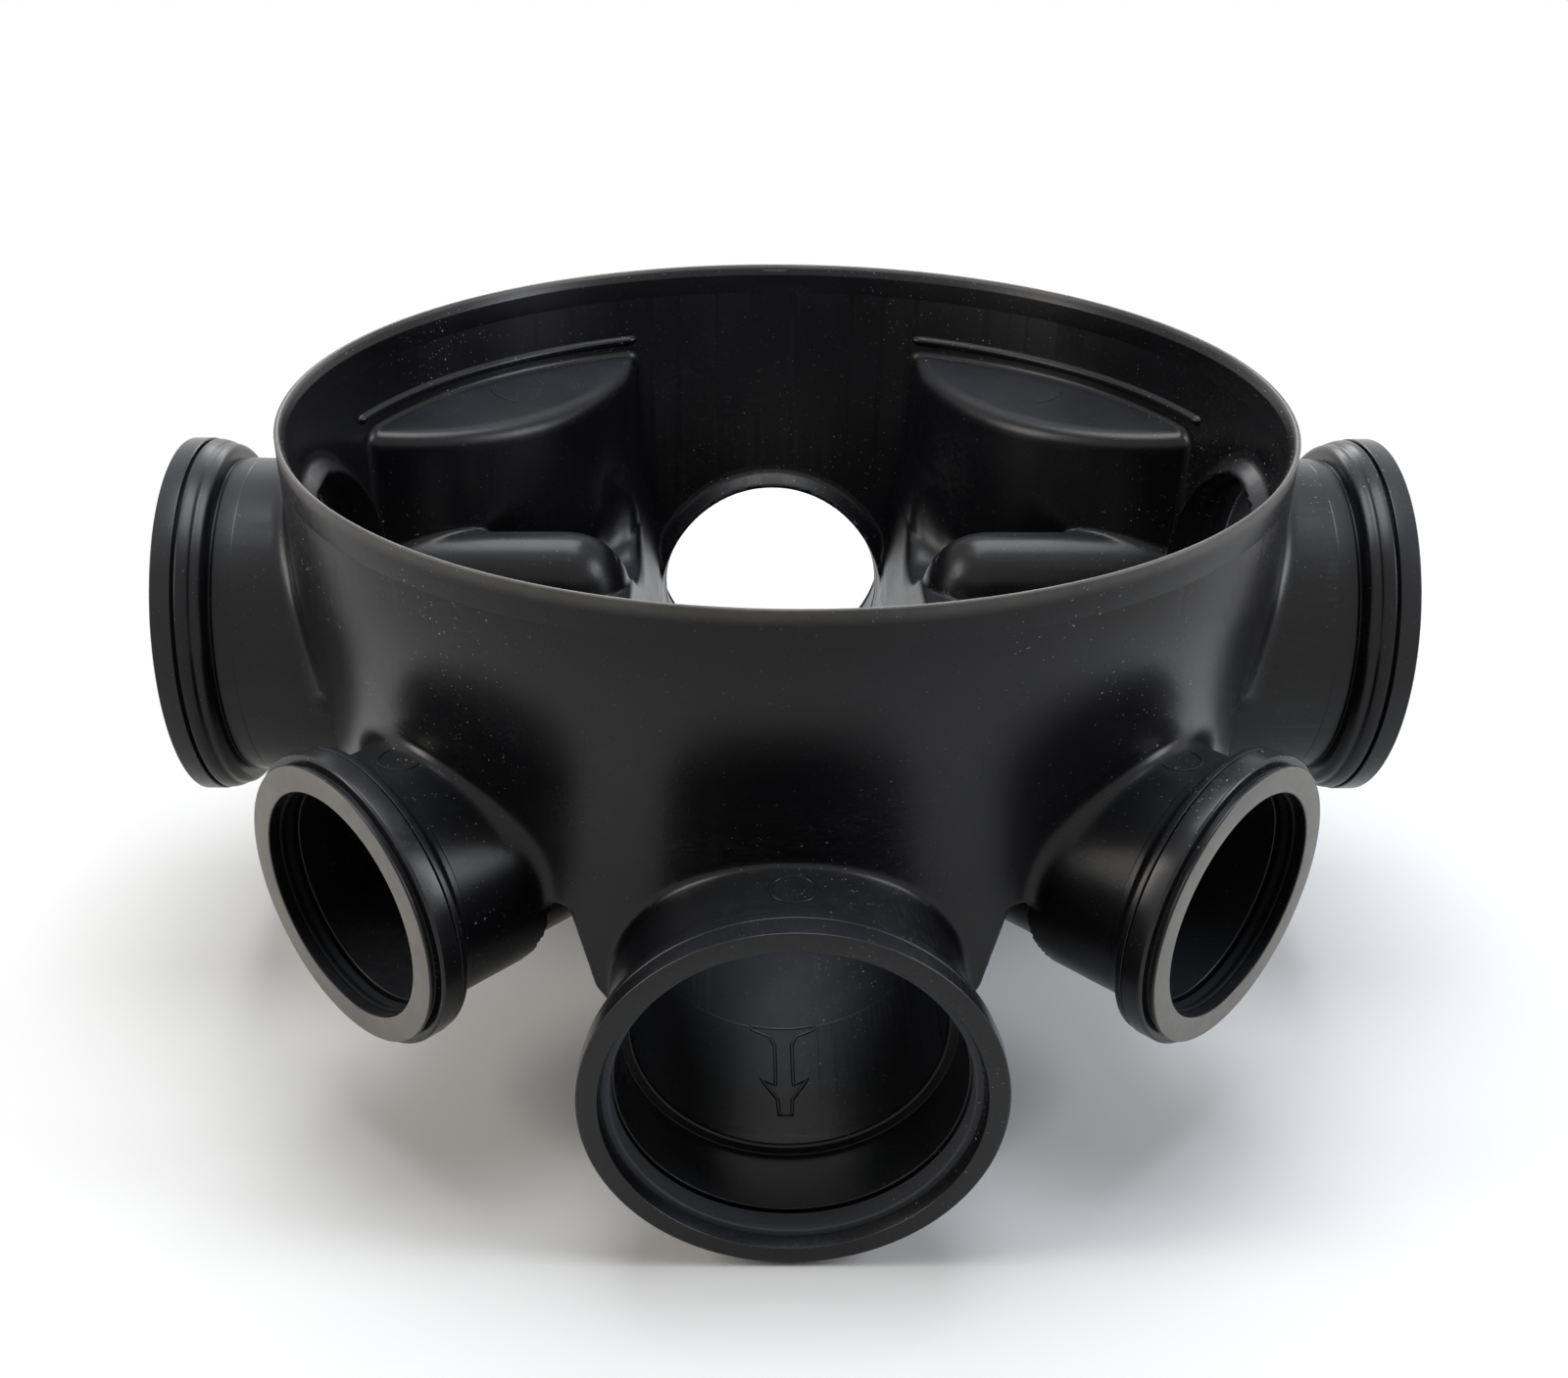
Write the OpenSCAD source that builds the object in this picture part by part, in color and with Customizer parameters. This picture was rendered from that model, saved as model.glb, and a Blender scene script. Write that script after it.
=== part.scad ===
// Drain inspection chamber base, moulded in one piece, with six push-fit pipe sockets.
// The main run goes along Y, from the back socket to the front one. Two large inlets come in
// along X and two small ones come in at 45 degrees to the front. Each socket holds a rubber
// ring seal behind a clip-on cap. The part stands on its feet at z = 0.

/* [Drum] */
// Outside diameter of the rim
rim_d = 525; // [500:1:560]
// Height of the rim above the ground
rim_z = 328; // [315:1:360]
// Wall thickness of the drum and the benching
wall = 4.8; // [3.5:0.1:6]
// Width of the lead-in chamfer inside the rim
lead_in = 3.5; // [2:0.1:4]
// Height of the lead-in chamfer inside the rim
lead_in_h = 5.5; // [3:0.5:9]
// How far the front of the drum draws in below the rim
draw_in = 28; // [20:0.5:32]
// Height over which the front of the drum draws in
draw_in_h = 150; // [120:1:160]
// How far the axis of the tapered front lies behind the centre
taper_back = 40; // [30:1:50]

/* [Large sockets] */
// Bore of the large sockets, which take a 160 mm pipe
large_socket_d = 163; // [161:0.5:165]
// Height of the pipe stop at the end of a large socket
large_stop = 5.5; // [4:0.1:7]
// Wall of a large socket's body
large_body_wall = 5.5; // [5:0.1:7]
// Radial width of a large cap outside the socket's bore
large_cap_width = 16.5; // [15:0.5:18]
// Radial width of the lead-in between a large cap's opening and the socket's bore
large_cap_lead = 6.7; // [5:0.1:8]
// Depth from the mouth to the pipe stop
large_depth = 57; // [50:1:60]
// Height of the main run's axis
main_z = 100; // [96:1:112]
// Height of the side inlets' axis
side_z = 200; // [190:1:204]

/* [Small sockets] */
// Bore of the small sockets, which take a 110 mm pipe
small_socket_d = 112; // [111:0.5:114]
// Height of the pipe stop at the end of a small socket
small_stop = 4; // [3:0.1:5]
// Wall of a small socket's body
small_body_wall = 8; // [6:0.1:9]
// Radial width of a small cap's skirt outside the socket's bore
small_cap_width = 19.5; // [18:0.5:21]
// Radial width of the face of a small cap outside the socket's bore
small_face_width = 16; // [15:0.5:17]
// Radial width of the lead-in between a small cap's opening and the socket's bore
small_cap_lead = 2.6; // [2:0.1:4]
// Depth from the mouth to the pipe stop
small_depth = 58; // [50:1:60]
// Height of the small inlets' axis
small_z = 150; // [140:1:160]
// Angle of the small inlets from the front
small_angle = 45; // [42:1:48]

/* [Sockets] */
// How far the front socket stands out of the wall
front_out = 67.5; // [64:0.5:74]
// How far the back and side sockets stand out of the wall
drum_out = 62.5; // [60:0.5:70]
// How far the small sockets stand out of the wall
small_out = 59.5; // [56:0.5:66]
// Depth of the cap over a large socket's seal housing
large_cap_len = 11; // [10:0.5:12]
// Depth of the cap over a small socket's seal housing
small_cap_len = 15.4; // [14.5:0.1:16]
// Width of the seam between a cap and the moulding
seam = 1.2; // [0.6:0.1:1.6]
// Radial clearance of caps and seals in their seats
seat_gap = 0.3; // [0.1:0.05:0.5]
// Wall of the pipe necks below the benching
neck_wall = 5; // [4:0.5:6]

/* [Benching] */
// Height of the benching
bench_z = 208; // [204:1:212]
// Radius of the benching's rounded edge
bench_round = 36; // [24:1:40]
// Plan radius of the benching's corner
bench_corner = 60; // [50:1:70]
// How far each wall of the main channel opens out up to the benching
channel_flare = 16; // [12:1:20]
// Radius of the round well that the front inlets open into
well_r = 151; // [146:1:156]

// Radius of the trough from a blank inlet's wall to the main channel
trough_r = 44; // [38:1:48]
// Radius of the benching's edge along that trough
trough_round = 28; // [20:1:30]

/* [Blank inlets] */
// Radius of the curved wall across a blank inlet
blank_r = 195; // [185:1:205]
// Distance of that wall's centre from the chamber's centre
blank_offset = 395; // [385:1:405]
// Height of the shelf on top of a blank inlet
blank_z = 272; // [266:1:276]
// Height of the bead above the shelf
bead_z = 284.5; // [283:0.5:288]

/* [Hidden] */
$fn = 96;
EPS = 0.01;

rim_r = rim_d / 2;
front_r = rim_r - draw_in;
large_bore_r = large_socket_d / 2;
large_r = large_bore_r - large_stop;
large_body_r = large_bore_r + large_body_wall;
large_cap_r = large_bore_r + large_cap_width;
small_bore_r = small_socket_d / 2;
small_r = small_bore_r - small_stop;
small_body_r = small_bore_r + small_body_wall;
small_cap_r = small_bore_r + small_cap_width;
small_face_r = small_bore_r + small_face_width;
channel_half_w = large_r + channel_flare;
blank_angle = 135;

// Each socket: turn about Z from the front, axis height, distance from the centre to its mouth
front_mouth = front_r + front_out;
drum_mouth = rim_r + drum_out;
// The tapered front is a circle about a point behind the centre
small_wall_r = sqrt(pow(front_r + taper_back, 2) - pow(taper_back * sin(small_angle), 2))
             - taper_back * cos(small_angle);
small_mouth = small_wall_r + small_out;

// Moves a socket's own frame, whose +Z points into the chamber from its mouth, to its place
module place(turn, height, mouth) {
    rotate([0, 0, turn]) translate([0, -mouth, height]) rotate([-90, 0, 0]) children();
}

module at_front() { place(0, main_z, front_mouth) children(); }
module at_back() { place(180, main_z, drum_mouth) children(); }
module at_left() { place(-90, side_z, drum_mouth) children(); }
module at_right() { place(90, side_z, drum_mouth) children(); }
module at_front_left() { place(-small_angle, small_z, small_mouth) children(); }
module at_front_right() { place(small_angle, small_z, small_mouth) children(); }

// ---------------------------------------------------------------- drum

// Profile of the tapered front, as radius against height; inset moves it inwards
function taper_r(t) = front_r + draw_in * (1 - (3 * t * t - 2 * t * t * t));
taper_steps = 14;
// The taper starts this far outside the rim, so that it crosses the drum instead of touching it
taper_over = 1.5;
taper_top = rim_z - 6;
module taper_profile(inset) {
    polygon(concat(
        [[0, 0], [0, rim_z + 1], [taper_back + rim_r + 2 - inset, rim_z + 1]],
        [for (i = [0 : taper_steps])
            let (t = i / taper_steps)
            [taper_back + taper_r(t) + taper_over * (1 - t) - inset, taper_top - draw_in_h * t]],
        [[taper_back + front_r - inset, 0]]
    ));
}

// The drum's outer form, or its inner form when inset is the wall
module drum_form(inset, low) {
    intersection() {
        translate([0, 0, low]) cylinder(r = rim_r - inset, h = rim_z - low, $fn = 180);
        translate([0, taper_back, 0]) rotate_extrude($fn = 180) taper_profile(inset);
    }
}

// The apron ends just below the middle of each socket
apron_low = small_z - 1.5;
hood_low = main_z - 2;
hood_half_top = large_body_r + 17;
hood_half_low = large_body_r + 6;
apron_round = 9;
// Slot between the apron and the lower half of a side socket
side_gap = 7;

// Outline of the apron's part in front of and behind the main run, seen along Y
module hood_outline() {
    polygon([
        [-hood_half_low, hood_low], [hood_half_low, hood_low],
        [hood_half_top, small_z - apron_round],
        [hood_half_top + 2, small_z - 2],
        [hood_half_top + apron_round, small_z + 3],
        [hood_half_top + apron_round, rim_z],
        [-hood_half_top - apron_round, rim_z],
        [-hood_half_top - apron_round, small_z + 3],
        [-hood_half_top - 2, small_z - 2],
        [-hood_half_top, small_z - apron_round]
    ]);
}

// The space that the drum's wall fills: down to the middle of each socket
module apron_space() {
    big = 2 * rim_d;
    difference() {
        translate([-big / 2, -big / 2, apron_low]) cube([big, big, rim_z]);
        translate([-big / 2, -large_body_r - side_gap, apron_low - 1])
            cube([big, 2 * (large_body_r + side_gap), side_z - apron_low - 2]);
    }
    translate([0, big / 2, 0]) rotate([90, 0, 0]) linear_extrude(big) hood_outline();
}

module drum_wall() {
    intersection() {
        difference() {
            drum_form(0, hood_low - 1);
            drum_form(wall, hood_low - 2);
            translate([0, 0, rim_z - lead_in_h])
                cylinder(r1 = rim_r - wall, r2 = rim_r - wall + lead_in, h = lead_in_h, $fn = 180);
        }
        apron_space();
    }
}

// ---------------------------------------------------------------- blank inlets

module at_blank(side) {
    rotate([0, 0, side * (blank_angle - 90)]) translate([0, blank_offset, 0]) children();
}

// Upright cylinder with a rounded top edge, as the curved wall of a blank inlet
module blank_form(inset, round, low) {
    rotate_extrude($fn = 240) rounded_step(blank_r - inset, low, blank_z - inset, round);
}

// Profile of a step with a rounded upper edge
module rounded_step(width, low, top, round) {
    difference() {
        translate([0, low]) square([width, top - low]);
        translate([width - round, top - round]) difference() {
            square(2 * round);
            circle(round);
        }
    }
}

module blank_walls() {
    for (side = [-1, 1]) intersection() {
        at_blank(side) blank_form(0, 8, small_z);
        drum_form(0, small_z);
    }
}

// The hollows behind the blank walls, which are open to the outside
module blank_pockets() {
    half = channel_half_w + wall;
    difference() {
        for (side = [-1, 1]) at_blank(side) blank_form(wall, 4, main_z - 1);
        translate([-half, 0, 0]) cube([2 * half, rim_d, rim_z]);
    }
}

// Bead on the drum's wall above the shelf
module blank_beads() {
    half = 25;
    for (side = [-1, 1])
        rotate([0, 0, side > 0 ? blank_angle - half : 180 - blank_angle - half])
            rotate_extrude(angle = 2 * half, $fn = 180)
                polygon([
                    [rim_r - wall + 1, bead_z - 2.4], [rim_r - wall - 1.2, bead_z - 1],
                    [rim_r - wall - 1.6, bead_z], [rim_r - wall - 1.2, bead_z + 0.7],
                    [rim_r - wall + 1, bead_z + 1.6]
                ]);
}

// ---------------------------------------------------------------- benching

// Corner of the benching between a side channel and the main one, in the quadrant x > 0, y > 0,
// with its upper edge rounded; inset makes the hollow under it
module bench_form(inset, low) {
    corner = bench_corner - inset;
    round = bench_round - inset;
    top = bench_z - inset;
    cx = channel_half_w + bench_corner;
    cy = large_r - 4 + bench_corner;
    translate([cx, cy, 0]) rotate_extrude() rounded_step(corner, low, top, round);
    translate([cx, cy, 0]) rotate([90, 0, 90]) linear_extrude(rim_r - cx)
        mirror([1, 0]) rounded_step(corner, low, top, round);
    translate([cx, rim_r, 0]) rotate([90, 0, 0]) linear_extrude(rim_r - cy)
        mirror([1, 0]) rounded_step(corner, low, top, round);
    translate([cx - 1, cy - 1, low]) cube([rim_r - cx, rim_r - cy, top - low]);
}

module benches(inset, low) {
    for (side = [0, 1]) mirror([side, 0, 0]) bench_form(inset, low);
}

// Trough in front of each blank inlet's wall, which leaves the benching as a rounded ridge
trough_z = 200;
trough_y = 156;
trough_from = 60;
trough_to = 205;
trough_lap = 0.5;
trough_sink = 6;
module troughs(grow, top) {
    length = trough_to - trough_from;
    difference() {
        for (side = [0, 1]) mirror([side, 0, 0])
            translate([trough_from, trough_y, 0]) rotate([90, 0, 90])
                linear_extrude(length + grow) trough_section(grow, top);
        if (grow == 0) for (side = [-1, 1]) at_blank(side) blank_form(0, 8, main_z);
    }
}

// Section across a trough, with edges that round over to the benching
module trough_section(grow, top) {
    half = trough_r - trough_lap + grow;
    round = trough_round - grow;
    low = bench_z - trough_round;
    translate([0, trough_z]) circle(trough_r + grow);
    translate([-half, trough_z - trough_sink]) square([2 * half, top - trough_z + trough_sink]);
    for (side = [0, 1]) mirror([side, 0]) difference() {
        translate([half - 1, low]) square([round + 1, top - low]);
        translate([half + round, low]) circle(round);
    }
}

// Pipe runs from stop to stop: the main one along Y and the side one along X
module pipe_runs(grow) {
    main_from = front_mouth - large_depth + 1;
    side_from = drum_mouth - large_depth + 1;
    translate([0, -main_from, main_z]) rotate([-90, 0, 0])
        cylinder(r = large_r + grow, h = main_from + side_from);
    translate([-side_from, 0, side_z]) rotate([0, 90, 0])
        cylinder(r = large_r + grow, h = 2 * side_from);
}

// Main channel above its invert, with walls that open out up to the benching
module main_channel(grow, top) {
    low_half = large_r - 6 + grow;
    low = main_z - 20;
    mid_half = channel_half_w - 1 + grow;
    half = channel_half_w + grow;
    translate([0, rim_r, 0]) rotate([90, 0, 0]) linear_extrude(rim_r + well_r - 4 + grow)
        polygon([
            [-half, top], [-mid_half, bench_edge_z], [-low_half, low],
            [low_half, low], [mid_half, bench_edge_z], [half, top]
        ]);
}

// Side channel above its invert
module side_channel(grow, top) {
    half = large_r - 0.5 + grow;
    translate([-rim_r, -half, side_z - 6]) cube([2 * rim_r, 2 * half, top - side_z + 6]);
}

bench_low = small_z - 10;
bench_edge_z = bench_z - bench_round;

// Round well in front, with a floor that lies just under the side channels' inverts
well_z = 138;
module well(grow, top) {
    intersection() {
        translate([0, 0, well_z - grow]) cylinder(r = well_r + grow, h = top - well_z + grow, $fn = 120);
        translate([-rim_r, -rim_r, 0]) cube([2 * rim_r, rim_r - large_r / 2 + grow, rim_z]);
    }
}

module channels(grow, top) {
    main_channel(grow, top);
    side_channel(grow, top);
    well(grow, top);
}

// Pipe from a socket's stop to the channels
module neck(r, depth, reach) {
    translate([0, 0, depth]) cylinder(r = r, h = reach - depth);
}

// ---------------------------------------------------------------- sockets

cap_skirt = 3.4;
large_house_r = large_cap_r - 7;
large_tube_r = large_cap_r - cap_skirt - seat_gap;
large_flange = 7;
large_seal_end = 20;
large_bulge_start = large_cap_len + seam;
large_bulge_end = large_bulge_start + 14.4;
bell_round = 8;
bell_at = drum_out + 17.5;
drum_body_end = drum_out + 16;

// Outside of a large socket: seal housing, two-ridged bulge, groove and body
module large_socket_outside(end) {
    rotate_extrude(convexity = 4) polygon([
        [0, large_flange], [large_tube_r, large_flange], [large_tube_r, large_bulge_start],
        [large_cap_r - 1.2, large_bulge_start], [large_cap_r - 0.6, large_bulge_start + 0.8],
        [large_cap_r - 0.8, large_bulge_start + 3.5], [large_cap_r - 1.8, large_bulge_start + 6.5],
        [large_cap_r - 3, large_bulge_start + 8], [large_cap_r - 3.2, large_bulge_start + 10.5],
        [large_cap_r - 4.2, large_bulge_start + 12.8], [large_cap_r - 5.6, large_bulge_end],
        [large_body_r - 0.8, large_bulge_end], [large_body_r - 0.8, large_bulge_end + 1.2],
        [large_body_r, large_bulge_end + 1.8], [large_body_r, end], [0, end]
    ]);
}

module large_socket_bore() {
    translate([0, 0, large_flange - 1]) cylinder(r = large_house_r, h = large_seal_end - large_flange + 1);
    translate([0, 0, large_seal_end - EPS]) cylinder(r = large_bore_r, h = large_depth - large_seal_end + EPS);
}

// Rounded edge of a bore that opens inwards at a distance from the mouth
module bell_mouth(r, at, round) {
    rotate_extrude() difference() {
        translate([0, at - round]) square([r + round, 3 * round]);
        translate([r + round, at - round]) circle(round);
    }
}

small_house_r = small_cap_r - 7;
small_tube_r = small_cap_r - cap_skirt - seat_gap;
small_flange = 6;
small_seal_end = 15.5;
small_bulge_start = small_cap_len + seam / 2;
small_bulge_end = small_bulge_start + 4;
small_body_end = small_depth + neck_wall;
// The small pipes run on under the benching until they meet the main channel
small_reach = small_mouth - large_r;

module small_socket_outside() {
    bulge_r = small_cap_r - 0.5;
    rotate_extrude(convexity = 4) polygon([
        [0, small_flange], [small_tube_r, small_flange], [small_tube_r, small_bulge_start],
        [bulge_r - 0.4, small_bulge_start], [bulge_r, small_bulge_start + 0.4],
        [bulge_r - 0.4, small_bulge_end], [small_body_r + 2, small_bulge_end + 4],
        [small_body_r, small_bulge_end + 5.5], [small_body_r, small_body_end],
        [small_r + neck_wall, small_body_end + 4], [0, small_body_end + 4]
    ]);
}

module small_socket_bore(reach) {
    translate([0, 0, small_flange - 1]) cylinder(r = small_house_r, h = small_seal_end - small_flange + 1);
    translate([0, 0, small_seal_end - EPS]) cylinder(r = small_bore_r, h = small_depth - small_seal_end + EPS);
    neck(small_r, small_depth - EPS, reach);
}

// ---------------------------------------------------------------- feet and arrow

foot_span = 150;
foot_t = 6;
foot_places = [-120, -20, 80, 180];

// Ribs under the main run that the part stands on
module feet() {
    for (y = foot_places)
        translate([-foot_span / 2, y - foot_t / 2, 0]) cube([foot_span, foot_t, main_z - 20]);
    translate([-foot_t / 2, foot_places[0], 0])
        cube([foot_t, foot_places[3] - foot_places[0], main_z - large_r]);
}

// Raised outline of an arrow on the invert of the front pipe, which shows the way of the flow
arrow_tip_y = -222;
arrow_line = 1.6;
arrow_h = 1;
arrow_room = 90;

// Half of the outline, as width against distance from the tip; inset gives the line's inner edge
function arrow_half(inset) = [
    [3.3 - inset, inset], [4 - inset, 9 + inset / 2],
    [15 - 2.6 * inset, 26 - 1.9 * inset], [5.6 - inset, 23 - 1.3 * inset],
    [5.6 - inset, 60 + 0.9 * inset], [22 - inset, 62 + 0.9 * inset], [22 - inset, 66 - inset]
];

module arrow_outline(inset) {
    half = arrow_half(inset);
    last = len(half) - 1;
    polygon(concat(half, [for (i = [0 : last]) [-half[last - i][0], half[last - i][1]]]));
}

module flow_arrow() {
    intersection() {
        translate([0, arrow_tip_y, 0]) linear_extrude(main_z) difference() {
            arrow_outline(0);
            arrow_outline(arrow_line);
        }
        translate([0, arrow_tip_y - 10, main_z]) rotate([-90, 0, 0]) difference() {
            cylinder(r = large_r + 1, h = arrow_room);
            translate([0, 0, -1]) cylinder(r = large_r - arrow_h, h = arrow_room + 2);
        }
    }
}

// ---------------------------------------------------------------- base

module base_solid() {
    drum_wall();
    blank_walls();
    intersection() {
        union() {
            benches(0, bench_low);
            main_channel(neck_wall, bench_edge_z + 1);
            in_front() channels(neck_wall, bench_z);
            in_front() translate([-rim_r, -rim_r, bench_z - wall]) cube([2 * rim_r, rim_r, wall]);
        }
        drum_form(0, 0);
    }
    intersection() {
        pipe_runs(neck_wall);
        translate([-rim_d, -rim_d, 0]) cube([2 * rim_d, 2 * rim_d, bench_edge_z + 1]);
    }
    at_front() large_socket_outside(large_depth + neck_wall);
    at_back() large_socket_outside(drum_body_end);
    at_left() large_socket_outside(drum_body_end);
    at_right() large_socket_outside(drum_body_end);
    for (side = [-1, 1]) place(side * small_angle, small_z, small_mouth) {
        small_socket_outside();
        neck(small_r + neck_wall, small_depth, small_reach);
    }
    feet();
}

// The half of the chamber in front of the side run's axis
module in_front() {
    intersection() {
        children();
        translate([-rim_d, -rim_d, 0]) cube([2 * rim_d, rim_d, rim_z]);
    }
}

// Free space above the benching
module chamber_space() {
    difference() {
        drum_form(wall, bench_z);
        for (side = [-1, 1]) difference() {
            at_blank(side) blank_form(0, 8, small_z);
            translate([-channel_half_w, 0, 0]) cube([2 * channel_half_w, rim_d, rim_z]);
        }
    }
}

module base_voids() {
    chamber_space();
    intersection() {
        difference() {
            channels(0, bench_z + 1);
            benches(0, bench_low);
        }
        drum_form(wall, 0);
    }
    troughs(0, bench_z + 1);
    pipe_runs(0);
    at_front() large_socket_bore();
    at_back() large_socket_bore();
    at_left() large_socket_bore();
    at_right() large_socket_bore();
    at_front_left() small_socket_bore(small_reach + 10);
    at_front_right() small_socket_bore(small_reach + 10);
    intersection() {
        at_back() bell_mouth(large_r, bell_at, bell_round);
        main_channel(0, bench_z + 1);
    }
    intersection() {
        union() {
            at_left() bell_mouth(large_r, bell_at, bell_round);
            at_right() bell_mouth(large_r, bell_at, bell_round);
        }
        translate([-rim_d, -rim_d, bench_z]) cube([2 * rim_d, 2 * rim_d, rim_z]);
    }
    blank_pockets();
    intersection() {
        difference() {
            benches(wall, bench_low - 1);
            channels(neck_wall, bench_z);
            pipe_runs(neck_wall);
            troughs(neck_wall, bench_z);
        }
        drum_form(wall, 0);
    }
}

module chamber_base() {
    color([0.07, 0.07, 0.075]) {
        difference() {
            base_solid();
            base_voids();
        }
        blank_beads();
        flow_arrow();
    }
}

// ---------------------------------------------------------------- seals and caps

// Rubber ring that fills the housing, with a lip pushed back clear of the pipe's way
lip_gap = 1.5;
module seal_ring(house_r, socket_r, start, end) {
    r = house_r - seat_gap;
    lip = socket_r + lip_gap;
    color([0.17, 0.17, 0.18]) rotate_extrude(convexity = 4) polygon([
        [lip + 0.6, start], [r, start], [r, start + 3], [r - 0.8, start + 4],
        [r - 0.8, start + 5], [r, start + 6], [r, end], [r - 3, end],
        [lip + 2.4, end - 3.5], [lip, end - 1.5], [lip, end - 3],
        [lip + 0.9, start + 3.4], [lip, start + 2], [lip, start + 0.6]
    ]);
}

module large_seal() {
    seal_ring(large_house_r, large_bore_r, large_flange, large_seal_end);
}

module small_seal() {
    seal_ring(small_house_r, small_bore_r, small_flange, small_seal_end);
}

// Cap with a bevelled opening, whose skirt clips over the seal housing
module large_cap() {
    r = large_cap_r;
    skirt_r = large_tube_r + seat_gap;
    bore_r = large_bore_r + large_cap_lead;
    color([0.09, 0.09, 0.095]) rotate_extrude(convexity = 4) polygon([
        [bore_r, 0], [r - 1.2, 0], [r - 0.4, 0.4], [r, 1.2], [r, large_cap_len - 0.5],
        [r - 0.5, large_cap_len], [skirt_r, large_cap_len], [skirt_r, large_flange],
        [bore_r - 1.6, large_flange]
    ]);
}

// Cap with a flat face that stands off its skirt by a groove
module small_cap() {
    r = small_cap_r;
    face_r = small_face_r;
    skirt_r = small_tube_r + seat_gap;
    bore_r = small_bore_r + small_cap_lead;
    groove_r = face_r - 2.2;
    color([0.09, 0.09, 0.095]) rotate_extrude(convexity = 4) polygon([
        [bore_r, 0.5], [bore_r + 0.5, 0], [face_r - 0.7, 0], [face_r, 0.7], [face_r, 1.6],
        [groove_r, 1.8], [groove_r, 4.8], [r - 1, 4.8], [r, 5.8], [r, small_cap_len - 0.3],
        [r - 0.3, small_cap_len], [skirt_r, small_cap_len], [skirt_r, small_flange],
        [bore_r, small_flange]
    ]);
}

chamber_base();
at_front() large_seal();  // front_seal
at_front() large_cap();  // front_cap
at_back() large_seal();  // back_seal
at_back() large_cap();  // back_cap
at_left() large_seal();  // left_seal
at_left() large_cap();  // left_cap
at_right() large_seal();  // right_seal
at_right() large_cap();  // right_cap
at_front_left() small_seal();  // front_left_seal
at_front_left() small_cap();  // front_left_cap
at_front_right() small_seal();  // front_right_seal
at_front_right() small_cap();  // front_right_cap
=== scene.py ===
import math
from collections import namedtuple
from functools import partial

import bmesh
import bpy
import numpy as np
from bpy.props import FloatProperty, FloatVectorProperty, IntProperty, PointerProperty
from mathutils import Matrix, Vector
from numpy import hypot, maximum, minimum


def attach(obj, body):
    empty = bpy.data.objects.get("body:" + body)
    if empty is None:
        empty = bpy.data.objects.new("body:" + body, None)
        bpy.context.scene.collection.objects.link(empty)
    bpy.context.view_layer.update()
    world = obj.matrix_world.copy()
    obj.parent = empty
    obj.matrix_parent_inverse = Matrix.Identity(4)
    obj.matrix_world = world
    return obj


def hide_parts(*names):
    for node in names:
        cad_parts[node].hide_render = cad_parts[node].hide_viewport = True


bl_info = {
    "name": "Drain Chamber Builder",
    "version": (1, 0, 0),
    "blender": (4, 2, 0),
    "location": "View3D > Sidebar > Drain Chamber",
    "description": "Builds the looks of a moulded drain inspection chamber on its CAD frame",
    "category": "Object",
}

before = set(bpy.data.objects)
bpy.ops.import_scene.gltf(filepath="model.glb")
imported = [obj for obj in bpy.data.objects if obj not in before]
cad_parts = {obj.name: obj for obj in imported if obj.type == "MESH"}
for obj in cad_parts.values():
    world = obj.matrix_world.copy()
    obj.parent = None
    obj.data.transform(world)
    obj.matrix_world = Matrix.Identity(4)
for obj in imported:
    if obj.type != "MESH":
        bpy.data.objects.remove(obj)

MM = 0.001
BODY = "root"


# ---- settings

class DrainMouldingSettings(bpy.types.PropertyGroup):
    """Sizes of the one-piece moulding, in the CAD frame"""

    cell: FloatProperty(
        name="Cell", description="Grid step of the moulding's surface, in millimetres",
        default=2.5, min=2.0, max=8.0)
    triangles: IntProperty(
        name="Triangles", description="Most triangles that the moulding keeps",
        default=190000, min=20000)
    wall: FloatProperty(
        name="Wall", description="Wall thickness, in millimetres", default=4.8, min=2.0)
    foot_round: FloatProperty(
        name="Foot fillet", default=4.0,
        description="Size of the fillet at the foot of the inner walls, in millimetres")
    shelf_round: FloatProperty(
        name="Shelf edge", default=11.0,
        description="Rounding of the blank inlets' shelves, in millimetres")
    trough_round: FloatProperty(
        name="Trough edge", default=18.0,
        description="Rounding of the ridge beside each trough, in millimetres")
    bell: FloatProperty(
        name="Bell", default=6.0,
        description="Rounding of the pipe mouths in the chamber, in millimetres")
    lip: FloatProperty(
        name="Lip", default=14.0,
        description="How far the lip round each pipe mouth stands out, in millimetres")


class DrainSocketSettings(bpy.types.PropertyGroup):
    """How the sockets' collars, caps and seals are turned"""

    segments: IntProperty(name="Segments", description="Steps round each ring", default=144, min=48)
    round_steps: IntProperty(
        name="Corner steps", description="Steps in each rounded corner", default=4, min=1)


class DrainLookSettings(bpy.types.PropertyGroup):
    """Colours, wear and painted light of the plastic"""

    body: FloatVectorProperty(
        name="Body", description="Colour of the moulding",
        subtype="COLOR", size=3, default=(0.0034, 0.0034, 0.0040))
    cap: FloatVectorProperty(
        name="Cap", description="Colour of the caps",
        subtype="COLOR", size=3, default=(0.0062, 0.0062, 0.0070))
    seal: FloatVectorProperty(
        name="Seal", description="Colour of the rubber seals",
        subtype="COLOR", size=3, default=(0.036, 0.038, 0.044))
    scuffs: FloatProperty(
        name="Scuffs", description="Strength of the pale rubbed patches",
        default=0.35, min=0.0, max=1.0)
    dust: FloatProperty(
        name="Dust", description="Strength of the dust specks", default=0.8, min=0.0, max=1.0)
    # the haze is thin dust and also painted light from above on the surfaces that face up
    haze_and_top_light: FloatProperty(
        name="Haze", description="Strength of the dust haze on surfaces that face up",
        default=0.5, min=0.0, max=1.0)
    # the film is a pale painted sheen: colour that stands in for light reflected on the rim and the
    # small caps' faces
    painted_sheen: FloatProperty(
        name="Film", description="Strength of the pale film on the rim and the small caps' faces",
        default=0.9, min=0.0, max=1.0)


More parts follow.
